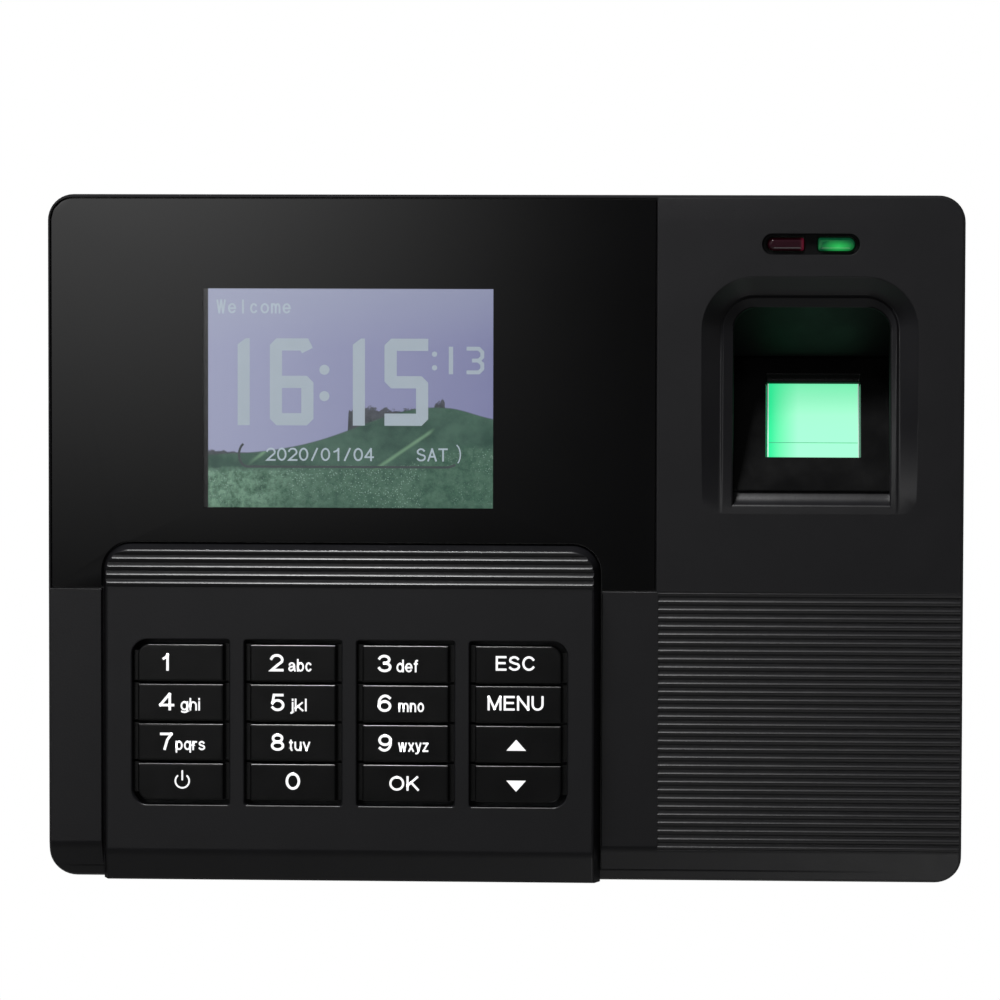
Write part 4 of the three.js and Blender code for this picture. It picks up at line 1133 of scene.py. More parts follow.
def front_housing():
    rows = [(SIDE_SLOPE + inset, SIDE_SLOPE + inset, y)
            for inset, y in edge_rows(0, FRONT_EDGE, FRONT_EDGE, steps=2)[:-1]]
    rows.append((0, 0, SIDE_SLOPE_DEPTH))
    back = PARTING_Y - GAP
    rim = 0.25
    block = bent_block(0, HALF_WIDTH, -HALF_HEIGHT, HALF_HEIGHT, (CORNER_R, CORNER_R), FACE_Y,
                       CHAMFER_Z, rows, [(0, 0, back - rim), (rim, rim, back)])
    shell = cut(block, housing_cavity())
    shell = join(shell, pocket_sleeve(), funnel_backing(), cover_boss(-1), cover_boss(1),
                 *pillars(PILLAR_R, FACE_Y + 2, PARTING_Y - GAP))
    behind = box(-WIDTH, WIDTH, PARTING_Y - GAP + 0.001, 0, -HEIGHT, HEIGHT)
    field = flute_cutter(FIELD_CRESTS, FACE_Y, SEAM_X + 0.45, HALF_WIDTH + 1)
    panel_hole = lambda inset: [
        (x, z) for x, z in panel_footprint(GAP - inset)]
    return cut(
        shell,
        behind,
        field,
        stack(window_recess, hole_rows(FACE_Y, LEDGE_Y, 0.22, 4)),
        stack(panel_hole, hole_rows(FACE_Y, LEDGE_Y, 0.2, 4)),
        stack(picture_opening, [(0, FACE_Y), (0, LEDGE_BACK_Y + 1)]),
        stack(keypad_opening, [(0, FACE_Y), (0, LEDGE_BACK_Y + 1)]),
        funnel_cutter(),
        pocket_cutter(),
        stack(slot_outline, hole_rows(FACE_Y, FACE_Y + LED_SLOT_DEPTH, 0.12, 3)),
        *[stack(lambda inset, side=side: lens_outline(side, inset - GAP),
                [(0, FACE_Y - 1), (0, FACE_Y + BEYOND)]) for side in (-1, 1)],
        *pillars(1.5, FACE_Y + 7, PARTING_Y),
    )


def window_outline():
    """The window's edge: a sheet with a round top left corner, notched round the keypad panel."""
    left = -HALF_WIDTH + WINDOW_INSET
    top = HALF_HEIGHT - WINDOW_INSET
    corner = CORNER_R - WINDOW_INSET
    notch_r = PANEL_R + GAP
    notch_left, notch_right = PANEL["left"] - GAP, PANEL["right"] + GAP
    notch_top = PANEL["top"] + GAP
    return [
        (left, SEAM_Z), (notch_left, SEAM_Z),
        *arc(notch_left + notch_r, notch_top - notch_r, notch_r, 180, 90),
        *arc(notch_right - notch_r, notch_top - notch_r, notch_r, 90, 0),
        (notch_right, SEAM_Z), (SEAM_X - GAP, SEAM_Z), (SEAM_X - GAP, top),
        *arc(left + corner, top - corner, corner, 90, 180),
    ]


def window_panel():
    """A closed acrylic plate whose unprinted rectangle is its own patch on both faces."""
    patch = [(APERTURE_LEFT, PICTURE["bottom"]), (PICTURE["right"], PICTURE["bottom"]),
             (PICTURE["right"], PICTURE["top"]), (APERTURE_LEFT, PICTURE["top"])]
    bm = bmesh.new()
    loops = []
    for outline in (window_outline(), patch):
        verts = [bm.verts.new((x, FACE_Y, z)) for x, z in outline]
        loops.append(verts)
        for first, second in zip(verts, verts[1:] + verts[:1]):
            bm.edges.new((first, second))
    bmesh.ops.triangle_fill(bm, edges=bm.edges[:], use_beauty=True, normal=(0, -1, 0))
    bm.faces.new(loops[1])
    made = bmesh.ops.extrude_face_region(bm, geom=bm.faces[:], use_keep_orig=True)
    back = [item for item in made["geom"] if isinstance(item, bmesh.types.BMVert)]
    bmesh.ops.translate(bm, verts=back, vec=(0, LEDGE_Y - GAP - FACE_Y, 0))
    bmesh.ops.recalc_face_normals(bm, faces=bm.faces)
    mesh = bpy.data.meshes.new("window")
    bm.to_mesh(mesh)
    bm.free()
    return new_object("window", mesh)


def mark_pocket_painted_shade(obj):
    """Gives the walls of the pocket and of the light slot the second material, which paints shade into
    them.
    """
    for face in obj.data.polygons:
        centre = face.center / MM
        rim = FACE_Y + COLLAR_DEPTH * funnel_share(centre.z)
        in_pocket = (abs(centre.x - POCKET_X) < POCKET_HALF + 0.2
                     and LIP_Z + 5 < centre.z < POCKET_TOP_Z + 0.2
                     and centre.y > rim + 0.35)
        in_slot = (abs(centre.x - LED_X) < LED_SLOT_WIDTH / 2 + 0.05
                   and abs(centre.z - LED_Z) < LED_SLOT_HEIGHT / 2 + 0.05
                   and centre.y > FACE_Y + 0.08)
        face.material_index = int(in_pocket or in_slot)


def mark_patch(obj):
    """Gives the faces of the unprinted rectangle the second material."""
    for face in obj.data.polygons:
        centre = face.center / MM
        inside = (APERTURE_LEFT < centre.x < PICTURE["right"]
                  and PICTURE["bottom"] < centre.z < PICTURE["top"])
        face.material_index = int(inside and abs(face.normal.y) > 0.99)


def panel_edge(face_y, slack=0.0):
    """The front rows of the panel: its drafted sides and the rounding at its face."""
    draft = PANEL_DRAFT * (LEDGE_Y - GAP - face_y) / (LEDGE_Y - GAP - PANEL_Y) + slack
    return [(draft + inset, inset, y) for inset, y in edge_rows(0, PANEL_EDGE, PANEL_EDGE)[:-1]]


def panel_ridges(cx, half):
    """The fluted top of the panel: its crests stand proud of the flat face below them."""
    back = LEDGE_Y - GAP - 1
    block = bent_block(cx, half, -30, PANEL["top"], (0, PANEL_R), PANEL_CREST_Y, -80,
                       panel_edge(PANEL_CREST_Y, 0.02), [(0.3, 0, back)])
    drop = PANEL_CRESTS[-1] - PANEL_FLAT_Z
    tail = []
    for k in range(1, 7):
        share = k / 6
        sink = (PANEL_Y - PANEL_CREST_Y + 0.01) * share * (2 - share)
        tail.append((PANEL_CREST_Y + sink, PANEL_CRESTS[-1] - drop * share))
    tail.append((back + 5, PANEL_FLAT_Z))
    tail.append((back + 5, -35))
    return cut(block, flute_cutter(PANEL_CRESTS, PANEL_CREST_Y, -WIDTH, WIDTH, tail))


def keypad_panel():
    half = (PANEL["right"] - PANEL["left"]) / 2
    cx = (PANEL["right"] + PANEL["left"]) / 2
    back = LEDGE_Y - GAP
    start_z = CHAMFER_Z - (LEDGE_Y - FACE_Y) / CHAMFER_SLOPE
    low = -HALF_HEIGHT
    lowest_back = back + CHAMFER_SLOPE * (start_z - low)
    block = bent_block(cx, half, low, PANEL["top"], (0, PANEL_R), PANEL_Y, PANEL_CHAMFER_Z,
                       panel_edge(PANEL_Y), [(0, 0, back), (0, 0, lowest_back)])
    behind = extrude_x([
        (back, 5), (back, start_z), (lowest_back + CHAMFER_SLOPE * BEYOND, low - BEYOND),
        (5, low - BEYOND), (5, 5)], -WIDTH, WIDTH)
    hollow = rounded(
        PANEL["left"] + PANEL_SKIRT, CHAMFER_Z + 1.4, PANEL["right"] - PANEL_SKIRT,
        PANEL["top"] - PANEL_SKIRT, [0.3, 0.3, PANEL_R - PANEL_SKIRT, PANEL_R - PANEL_SKIRT])
    flutes = flute_cutter(PANEL_CRESTS, PANEL_CREST_Y, -WIDTH, WIDTH,
                          [(PANEL_CREST_Y, PANEL_FLAT_Z)])
    return cut(
        join(block, panel_ridges(cx, half)),
        flutes,
        behind,
        plate(hollow, PANEL_Y + PANEL_PLATE, 0),
        *[key_well(i) for i in range(len(KEY_COLUMNS))],
    )


# ---------- keys ----------
def key_centre(name):
    low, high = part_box(name)
    return (low.x + high.x) / 2 / MM, (low.z + high.z) / 2 / MM


def key_height(name):
    low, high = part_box(name)
    return (high.z - low.z) / MM


def outer_radii(column, radius, at_bottom, at_top, other=0.25):
    """Corner radii for a column: only the keypad's own outer corners are large."""
    left = radius if column == 0 else other
    right = radius if column == len(KEY_COLUMNS) - 1 else other
    return [left if at_bottom else other, right if at_bottom else other,
            right if at_top else other, left if at_top else other]


def key_well(column):
    x = key_centre(KEY_COLUMNS[column][0])[0]
    radii = outer_radii(column, WELL_R, True, True, 0.5)

    def outline(inset):
        half = WELL_WIDTH / 2 - inset
        corner = [max(r - inset, 0.02) for r in radii]
        return rounded(x - half, WELL_BOTTOM_Z + inset, x + half, WELL_TOP_Z - inset, corner)

    return stack(outline, hole_rows(PANEL_Y, PANEL_Y + PANEL_PLATE + 1, 0.3))


def key_cap(name, column, row):
    x, z = key_centre(name)
    rise = key_height(name) / 2
    radii = outer_radii(column, KEY_CORNER_R, row == 3, row == 0)

    def outline(inset):
        half = KEY_WIDTH / 2 - inset
        corner = [max(r - inset, 0.05) for r in radii]
        return rounded(x - half, z - rise + inset, x + half, z + rise - inset, corner, 6)

    cap = stack(outline, edge_rows(KEY_Y, KEY_BACK_Y, KEY_EDGE, 0, 6))
    low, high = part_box(name)
    wings = []
    for side, end in ((-1, low.x / MM), (1, high.x / MM)):
        outer = column == (0 if side < 0 else 3)
        bottom = z - rise + (WING_SHORT if outer and row == 3 else 0.02)
        top = z + rise - (WING_SHORT if outer and row == 0 else 0.02)
        wings.append(box(min(x, end), max(x, end), FLANGE_FRONT_Y, KEY_BACK_Y - 0.01, bottom, top))
    stem = bar_y(x, z, STEM_R, KEY_BACK_Y - 1, STEM_END_Y, sides=20)
    return join(cap, *wings, stem)


def turn(cx, cz, rx, rz, start, end):
    """Part of an ellipse as a stroke."""
    steps = max(3, math.ceil(abs(end - start) / 18))
    angles = [math.radians(start + (end - start) * i / steps) for i in range(steps + 1)]
    return [(cx + rx * math.cos(a), cz + rz * math.sin(a)) for a in angles]


RING = turn(0.5, 0.5, 0.5, 0.5, 90, 450)
ARCH = [(0, 0.45), *turn(0.5, 0.55, 0.5, 0.45, 180, 0), (1, 0)]
# Centre lines of plain sans-serif characters: width against the capital height, then strokes.
# A height of 0 is the baseline and 1 the top; small letters rise to 2 and fall to -1.
CAPITALS = {
    "0": (0.6, [RING]),
    "1": (0.34, [[(0, 0.74), (0.55, 0.82), (1, 0.98)], [(1, 0), (1, 1)]]),
    "2": (0.6, [[*turn(0.5, 0.7, 0.5, 0.3, 165, -28), (0.5, 0.3), (0.03, 0), (1, 0)]]),
    "3": (0.6, [turn(0.47, 0.76, 0.44, 0.24, 160, -90), turn(0.5, 0.26, 0.5, 0.26, 90, -160)]),
    "4": (0.66, [[(0.74, 0), (0.74, 1)], [(0.7, 1), (0, 0.3)], [(0, 0.27), (1, 0.27)]]),
    "5": (0.6, [[(0.92, 1), (0.18, 1), (0.06, 0.47)],
                [(0.06, 0.47), *turn(0.5, 0.32, 0.5, 0.32, 125, -150)]]),
    "6": (0.6, [turn(0.5, 0.31, 0.5, 0.31, 90, 450), [(0, 0.3), *turn(0.56, 0.52, 0.56, 0.48, 180, 45)]]),
    "7": (0.58, [[(0, 1), (1, 1)], [(1, 0.98), (0.6, 0.6), (0.34, 0)]]),
    "8": (0.6, [turn(0.5, 0.76, 0.42, 0.24, 90, 450), turn(0.5, 0.26, 0.5, 0.26, 90, 450)]),
    "9": (0.6, [turn(0.5, 0.69, 0.5, 0.31, 90, 450), [(1, 0.7), *turn(0.44, 0.48, 0.56, 0.48, 0, -135)]]),
    "A": (0.84, [[(0, 0), (0.5, 1)], [(0.5, 1), (1, 0)], [(0.2, 0.34), (0.8, 0.34)]]),
    "C": (0.86, [turn(0.52, 0.5, 0.52, 0.5, 38, 322)]),
    "E": (0.72, [[(1, 1), (0, 1), (0, 0), (1, 0)], [(0.1, 0.52), (0.9, 0.52)]]),
    "K": (0.78, [[(0, 0), (0, 1)], [(0.92, 1), (0, 0.33)], [(0.35, 0.58), (1, 0)]]),
    "M": (0.9, [[(0, 0), (0, 1)], [(1, 0), (1, 1)], [(0.02, 1), (0.5, 0.04)], [(0.98, 1), (0.5, 0.04)]]),
    "N": (0.8, [[(0, 0), (0, 1)], [(1, 0), (1, 1)], [(0.03, 0.98), (0.97, 0.02)]]),
    "O": (0.94, [RING]),
    "S": (0.76, [[*turn(0.48, 0.76, 0.44, 0.24, 25, 215), (0.5, 0.51),
                  *turn(0.5, 0.26, 0.5, 0.26, 45, -155)]]),
    "T": (0.76, [[(0, 1), (1, 1)], [(0.5, 0), (0.5, 1)]]),
    "U": (0.78, [[(0, 1), *turn(0.5, 0.4, 0.5, 0.4, 180, 360), (1, 1)]]),
    "W": (1.2, [[(0, 1), (0.25, 0)], [(0.25, 0), (0.5, 1)], [(0.5, 1), (0.75, 0)], [(0.75, 0), (1, 1)]]),
    "/": (0.4, [[(0, 0), (1, 1)]]),
}
SMALL = {
    "a": (0.6, [[*turn(0.46, 0.68, 0.42, 0.32, 160, 0), (0.9, 0.2), (1, 0)],
                [(0.88, 0.56), (0.4, 0.52), *turn(0.36, 0.26, 0.36, 0.26, 90, 270), (0.88, 0.28)]]),
    "b": (0.58, [RING, [(0, 0), (0, 2)]]),
    "c": (0.54, [turn(0.5, 0.5, 0.5, 0.5, 42, 318)]),
    "d": (0.58, [RING, [(1, 0), (1, 2)]]),
    "e": (0.58, [[(0.02, 0.5), (1, 0.5), *turn(0.5, 0.5, 0.5, 0.5, 12, 318)]]),
    "f": (0.34, [[(0.95, 1.98), *turn(0.9, 1.5, 0.5, 0.5, 90, 180), (0.4, 0)], [(0, 1), (0.9, 1)]]),
    "g": (0.58, [RING, [(1, 1), (1, -0.4), *turn(0.5, -0.4, 0.5, 0.6, 0, -145)]]),
    "h": (0.56, [[(0, 0), (0, 2)], ARCH]),
    "i": (0.14, [[(0.5, 0), (0.5, 1)], [(0.5, 1.82), (0.5, 2)]]),
    "j": (0.26, [[(1, 1), (1, -0.5), *turn(0.4, -0.5, 0.6, 0.5, 0, -90)], [(1, 1.82), (1, 2)]]),
    "k": (0.54, [[(0, 0), (0, 2)], [(0.92, 1), (0, 0.3)], [(0.35, 0.52), (1, 0)]]),
    "l": (0.14, [[(0.5, 0), (0.5, 2)]]),
    "m": (0.92, [[(0, 0), (0, 1)], [(0, 0.45), *turn(0.25, 0.6, 0.25, 0.4, 180, 0), (0.5, 0)],
                 [(0.5, 0.45), *turn(0.75, 0.6, 0.25, 0.4, 180, 0), (1, 0)]]),
    "n": (0.56, [[(0, 0), (0, 1)], ARCH]),
    "o": (0.6, [RING]),
    "p": (0.58, [RING, [(0, -1), (0, 1)]]),
    "q": (0.58, [RING, [(1, -1), (1, 1)]]),
    "r": (0.4, [[(0, 0), (0, 1)], [(0, 0.5), *turn(0.75, 0.5, 0.75, 0.5, 180, 75)]]),
    "s": (0.54, [[*turn(0.48, 0.75, 0.44, 0.25, 25, 215), (0.5, 0.51),
                  *turn(0.5, 0.26, 0.5, 0.26, 45, -155)]]),
    "t": (0.32, [[(0.4, 1.6), (0.4, 0.3), *turn(0.85, 0.3, 0.45, 0.3, 180, 260)], [(0, 1), (0.95, 1)]]),
    "u": (0.56, [[(0, 1), *turn(0.5, 0.42, 0.5, 0.42, 180, 360)], [(1, 0), (1, 1)]]),
    "v": (0.58, [[(0, 1), (0.5, 0)], [(0.5, 0), (1, 1)]]),
    "w": (0.84, [[(0, 1), (0.25, 0)], [(0.25, 0), (0.5, 1)], [(0.5, 1), (0.75, 0)], [(0.75, 0), (1, 1)]]),
    "x": (0.56, [[(0, 1), (1, 0)], [(0, 0), (1, 1)]]),
    "y": (0.58, [[(0, 1), (0.52, 0)], [(1, 1), (0.5, -0.1), (0.32, -0.85), (0, -0.95)]]),
    "z": (0.54, [[(0, 1), (1, 1)], [(0.97, 0.95), (0.03, 0.05)], [(0, 0), (1, 0)]]),
}
SMALL_HEIGHT = 0.74
SMALL_FALL = 0.27
LETTER_GAP = 0.15
SMALL_GAP = 0.1
LEGEND_WEIGHT = 0.148
SMALL_WEIGHT = 0.135


def ribbon(points, thick, front, back, ends=0.5):
    """A flat closed ribbon along a polyline. Each end runs on by a share of the width."""
    line = [Vector(p) for p in points]
    line[0] = line[0] + (line[0] - line[1]).normalized() * thick * ends
    line[-1] = line[-1] + (line[-1] - line[-2]).normalized() * thick * ends
    left, right = [], []
    for i, here in enumerate(line):
        into = (here - line[i - 1]).normalized() if i else (line[1] - here).normalized()
        out = (line[i + 1] - here).normalized() if i < len(line) - 1 else into
        across = Vector((-(into + out).y, (into + out).x)).normalized()
        reach = thick / 2 / max(0.35, across.dot(Vector((-into.y, into.x))))
        left.append(here + across * reach)
        right.append(here - across * reach)
    count = len(line)
    rows = [(p.x, y, p.y) for y in (front, back) for side in (left, right) for p in side]
    faces = []
    for i in range(count - 1):
        a, b, c, d = i, i + 1, count + i + 1, count + i
        low = 2 * count
        faces += [[a, b, c, d], [a + low, d + low, c + low, b + low],
                  [a, a + low, b + low, b], [d, c, c + low, d + low]]
    faces += [[i, count + i, 3 * count + i, 2 * count + i] for i in (0, count - 1)]
    return mesh_object(rows, faces)


def letters(text, cx, baseline, width, cap, front, back, weight=0.15, pitch=0.0):
    """Solid letters facing the front, of a given width and capital height. A pitch above zero
    sets them in cells of one width."""
    thick = weight * cap
    shapes = [CAPITALS.get(c) or SMALL[c] for c in text]
    between = cap * (SMALL_GAP if text.islower() else LETTER_GAP)
    gaps = between * (len(text) - 1)
    stretch = (width - gaps) / sum(cap * share for share, _ in shapes)
    left = cx - width / 2
    strokes = []
    for i, (character, (share, lines)) in enumerate(zip(text, shapes)):
        wide = min(cap * share * stretch, pitch * 0.86) if pitch else cap * share * stretch
        if pitch:
            left = cx - pitch * len(text) / 2 + pitch * (i + 0.5) - wide / 2
        high = cap * (1 if character in CAPITALS else SMALL_HEIGHT)
        span = max(wide - thick, 0.01)

        def place(point):
            u, v = point
            if v > 1:
                z = high - thick / 2 + (v - 1) * (cap - high)
            elif v < 0:
                z = thick / 2 + v * (cap * SMALL_FALL - thick / 2)
            else:
                z = thick / 2 + v * (high - thick)
            return left + (wide - span) / 2 + u * span, baseline + z

        for line in lines:
            strokes.append(ribbon([place(p) for p in line], thick, front, back))
        left += wide + between
    return merge(strokes)


def merge(objects):
    """Several separate shapes as one object."""
    bm = bmesh.new()
    for obj in objects:
        bm.from_mesh(obj.data)
        bpy.data.objects.remove(obj)
    mesh = bpy.data.meshes.new("merged")
    bm.to_mesh(mesh)
    bm.free()
    return new_object("merged", mesh)


DIGIT_CAP = 3.45
LETTER_CAP = 2.5
WORD_CAP = 2.9
BASELINE = -1.6
WORD_BASELINE = -1.15
# Each key's marks: text, place of its centre across the key, width, capital height, baseline.
LEGENDS = {
    "key_1": [("1", -2.95, 1.25, DIGIT_CAP, BASELINE)],
    "key_4": [("4", -2.75, 3.0, DIGIT_CAP, BASELINE), ("ghi", 1.95, 3.9, LETTER_CAP, BASELINE)],
    "key_7": [("7", -2.85, 2.5, DIGIT_CAP, BASELINE), ("pqrs", 1.95, 5.9, LETTER_CAP, BASELINE)],
    "key_2": [("2", -3.2, 2.7, DIGIT_CAP, BASELINE), ("abc", 1.45, 4.7, LETTER_CAP, BASELINE)],
    "key_5": [("5", -3.05, 2.75, DIGIT_CAP, BASELINE), ("jkl", 1.05, 3.5, LETTER_CAP, BASELINE)],
    "key_8": [("8", -3.05, 2.65, DIGIT_CAP, BASELINE), ("tuv", 1.35, 4.2, LETTER_CAP, BASELINE)],
    "key_0": [("0", 0.0, 2.9, DIGIT_CAP, BASELINE + 0.15)],
    "key_3": [("3", -4.15, 2.75, DIGIT_CAP, BASELINE), ("def", 0.35, 4.3, LETTER_CAP, BASELINE)],
    "key_6": [("6", -4.15, 2.7, DIGIT_CAP, BASELINE), ("mno", 1.15, 5.1, LETTER_CAP, BASELINE)],
    "key_9": [("9", -4.05, 2.7, DIGIT_CAP, BASELINE), ("wxyz", 1.55, 6.0, LETTER_CAP, BASELINE)],
    "key_ok": [("OK", -0.25, 5.9, WORD_CAP, WORD_BASELINE - 0.3)],
    "key_esc": [("ESC", -0.6, 7.8, WORD_CAP, WORD_BASELINE)],
    "key_menu": [("MENU", -0.55, 11.1, WORD_CAP, WORD_BASELINE)],
}


def arrow_mark(x, z, direction):
    """A filled triangle with slightly rounded points."""
    half, rise = 1.95, 1.1
    outline = [(x - half, z - direction * rise), (x + half, z - direction * rise),
               (x, z + direction * rise)]
    return plate(outline, LEGEND_Y, KEY_Y + LEGEND_SINK)


def power_mark(x, z):
    """A ring open at the top with a short upright stroke."""
    radius, stroke = 1.38, 0.33
    z -= 0.15
    opening = 38
    outer = arc(x, z, radius + stroke / 2, 90 + opening, 450 - opening, 28)
    inner = arc(x, z, radius - stroke / 2, 450 - opening, 90 + opening, 28)
    ring = plate(outer + inner, LEGEND_Y, KEY_Y + LEGEND_SINK)
    half = stroke / 2
    line = plate(rounded(x - half, z + 0.1, x + half, z + 2.15, half - 0.02, 4),
                 LEGEND_Y, KEY_Y + LEGEND_SINK)
    return merge([ring, line])


def key_legend(name):
    x, z = key_centre(name)
    if name == "key_power":
        return power_mark(x + 0.33, z + 0.3)
    if name == "key_up":
        return arrow_mark(x - 0.41, z - 0.13, 1)
    if name == "key_down":
        return arrow_mark(x - 0.41, z - 0.37, -1)
    return merge([
        letters(text, x + across, z + baseline, width, cap, LEGEND_Y, KEY_Y + LEGEND_SINK,
                SMALL_WEIGHT if text.islower() else LEGEND_WEIGHT)
        for text, across, width, cap, baseline in LEGENDS[name]
    ])


def build_keys():
    for column, names in enumerate(KEY_COLUMNS):
        for row, name in enumerate(names):
            body = name + "_body"
            as_piece(key_cap(name, column, row), "cap_" + name, KEY_PLASTIC,
                     (name,), body)
            as_piece(key_legend(name), "legend_" + name, INK_AND_PAINTED_GLOW, (), body)


def build_rubber():
    """The silicone sheet and one squashable dome under each key."""
    sheet = stack(lambda inset: keypad_opening(GAP + inset),
                  edge_rows(SHEET_FRONT_Y, LEDGE_BACK_Y, 0.2, 0.2, 3))
    as_piece(sheet, "rubber_sheet", RUBBER, ("keypad_membrane",))
    for names in KEY_COLUMNS:
        for name in names:
            x, z = key_centre(name)
            profile = [(0, DOME_TOP_Y), (DOME_TOP_R - 0.3, DOME_TOP_Y),
                       (DOME_TOP_R, DOME_TOP_Y + 0.3), (DOME_TOP_R + 0.2, DOME_TOP_Y + 0.6),
                       (DOME_BASE_R - 0.2, SHEET_FRONT_Y - 0.3), (DOME_BASE_R, SHEET_FRONT_Y),
                       (0, SHEET_FRONT_Y)]
            dome = as_piece(turned_y(profile, x, z, 28), "dome_" + name, RUBBER)
            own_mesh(dome)


# ---------- display ----------
def on_picture(u, v):
    """A place in millimetres from shares of the picture's width and height."""
    return (PICTURE["left"] + u * (PICTURE["right"] - PICTURE["left"]),
            PICTURE["bottom"] + v * (PICTURE["top"] - PICTURE["bottom"]))


GLASS_FRONT_Y = LEDGE_Y + GAP
INK_Y = GLASS_FRONT_Y + 0.02
INK_RAISE = 0.06


def stroke_path(points, thick):
    """A flat lit stroke of one width along a polyline, mitred at its corners."""
    return ribbon(points, thick, INK_Y - INK_RAISE, INK_Y, ends=0)


ONE_SLANT_SHARE = 0.68

# Figures: kind, the share of the picture's width where each starts, and its own width.
CLOCK_BASE = 0.376
CLOCK_HEIGHT = 17.3
CLOCK_STROKE = 2.42
CLOCK_FIGURES = [("1", 0.119, 2.4), ("6", 0.23, 8.7), ("1", 0.516, 2.4), ("5", 0.625, 8.7)]
CLOCK_DOTS = [(0.418, 0.63), (0.418, 0.51)]
CLOCK_DOT_R = 1.0

# The small figures' rows also hold their stroke and the share of their width that corners lose.
SECONDS_BASE = 0.612
SECONDS_HEIGHT = 5.45
SECONDS_FIGURES = [("1", 0.846, 0.85, 0.85, 0), ("3", 0.907, 3.5, 0.75, 0.2)]
SECONDS_DOTS = [(0.797, 0.703), (0.797, 0.641)]
SECONDS_DOT_R = 0.52

# Words: text, where its middle and its foot are on the picture, and its capital height.
WORDS = [("Welcome", 0.175, 0.886, 2.75), ("2020/01/04", 0.403, 0.214, 2.6),
         ("SAT", 0.789, 0.214, 2.6)]
WORD_PITCH = 2.18
WORD_WEIGHT = 0.13


def figure(kind, left, bottom, width, height, thick, corner=0.07):
    """A tall clock figure with cut corners. The 1 is a bar whose top is cut on a slant."""
    l, r = left + thick / 2, left + width - thick / 2
    b, t = bottom + thick / 2, bottom + height - thick / 2
    m = (b + t) / 2
    k = corner * width
    if kind == "1":
        high = bottom + height
        outline = [(left, bottom), (left + width, bottom), (left + width, high),
                   (left + width * ONE_SLANT_SHARE, high), (left, high - corner * height)]
        return plate(outline, INK_Y - INK_RAISE, INK_Y)
    paths = {
        "5": [(r + thick / 2, t), (l + k, t), (l, t - k), (l, m + k), (l + k, m), (r - k, m),
              (r, m - k), (r, b + k), (r - k, b), (l - thick / 2, b)],
        "6": [(r, t - thick / 2), (r - k, t), (l + k, t), (l, t - k), (l, b + k), (l + k, b), (r - k, b),
              (r, b + k), (r, m - k), (r - k, m), (l + thick / 2, m)],
        "3": [(l - thick / 2, t), (r - k, t), (r, t - k), (r, m + k), (r - k, m), (l + k, m)],
    }
    drawn = [stroke_path(paths[kind], thick)]
    if kind == "3":
        drawn.append(stroke_path(
            [(r - k * 1.2, m), (r, m - k), (r, b + k), (r - k, b), (l - thick / 2, b)], thick))
    return merge(drawn)


def dot(u, v, radius):
    x, z = on_picture(u, v)
    return bar_y(x, z, radius, INK_Y - INK_RAISE, INK_Y, sides=24)


def build_display():
    left, right = PICTURE["left"], PICTURE["right"]
    outline = lambda inset: rounded(
        left - GLASS_BORDER + inset, PICTURE["bottom"] - GLASS_BORDER + inset,
        right + GLASS_BORDER - inset, PICTURE["top"] + GLASS_BORDER - inset, 0.4)
    glass = stack(outline, edge_rows(GLASS_FRONT_Y + 0.03, LEDGE_BACK_Y - 0.1, 0.1, 0.1, 2))
    as_piece(glass, "lcd_picture", picture_glow(), ("lcd_glass",))

    base = on_picture(0, CLOCK_BASE)[1]
    shapes = [
        figure(kind, on_picture(share, 0)[0], base, width, CLOCK_HEIGHT, CLOCK_STROKE)
        for kind, share, width in CLOCK_FIGURES]
    shapes += [dot(u, v, CLOCK_DOT_R) for u, v in CLOCK_DOTS]
    base = on_picture(0, SECONDS_BASE)[1]
    shapes += [
        figure(kind, on_picture(share, 0)[0], base, width, SECONDS_HEIGHT, stroke, corner)
        for kind, share, width, stroke, corner in SECONDS_FIGURES]
    shapes += [dot(u, v, SECONDS_DOT_R) for u, v in SECONDS_DOTS]
    ink = display_ink("display_figures", 1.0)
    as_piece(merge(shapes), "display_time", ink)

    words = [stroke_path(turn(*on_picture(0.862, 0.245), 1.4, 2.2, -50, 62), 0.24)]
    for text, share, low, cap in WORDS:
        x, z = on_picture(share, low)
        words.append(letters(text, x, z, WORD_PITCH * len(text), cap, INK_Y - INK_RAISE, INK_Y,
                             WORD_WEIGHT, WORD_PITCH))
    as_piece(merge(words), "display_words", display_ink("display_words", 1.1))

    end_x, low = on_picture(0.88, 0.187)
    bend_x, bend_z = on_picture(0.152, 0.242)
    frame_line = [*turn(bend_x, bend_z, 1.65, bend_z - low, 118, 270), (end_x - 2, low),
                  (end_x - 0.6, low + 0.5)]
    as_piece(stroke_path(frame_line, 0.45), "display_frame_line", display_shade())

    module = lambda inset: rounded(
        left - 5.6 + inset, PICTURE["bottom"] - 3.2 + inset, right + 5.6 - inset,
        PICTURE["top"] + 3.2 - inset, 1)
    tray = stack(module, edge_rows(LEDGE_BACK_Y + GAP, LEDGE_BACK_Y + 3.3, 0.3, 0.5, 3))
    as_piece(tray, "lcd_tray", BRUSHED, ("lcd_frame",))


# ---------- indicator ----------
def light_guide(side):
    outline = lambda inset: lens_outline(side, inset)
    front = FACE_Y + 0.4
    rows = [(0.75, front), (0.68, front + 0.02), (0.3, front + 0.28), (0.1, front + 0.42),
            (0.0, front + 0.65), (0.0, LENS_BACK_Y)]
    return stack(outline, rows)


def build_indicator():
    as_piece(light_guide(-1), "lens_red", red_lens(), ("led_lens_red",), crease=40)
    as_piece(light_guide(1), "lens_green", green_lens(), ("led_lens_green",), crease=40)


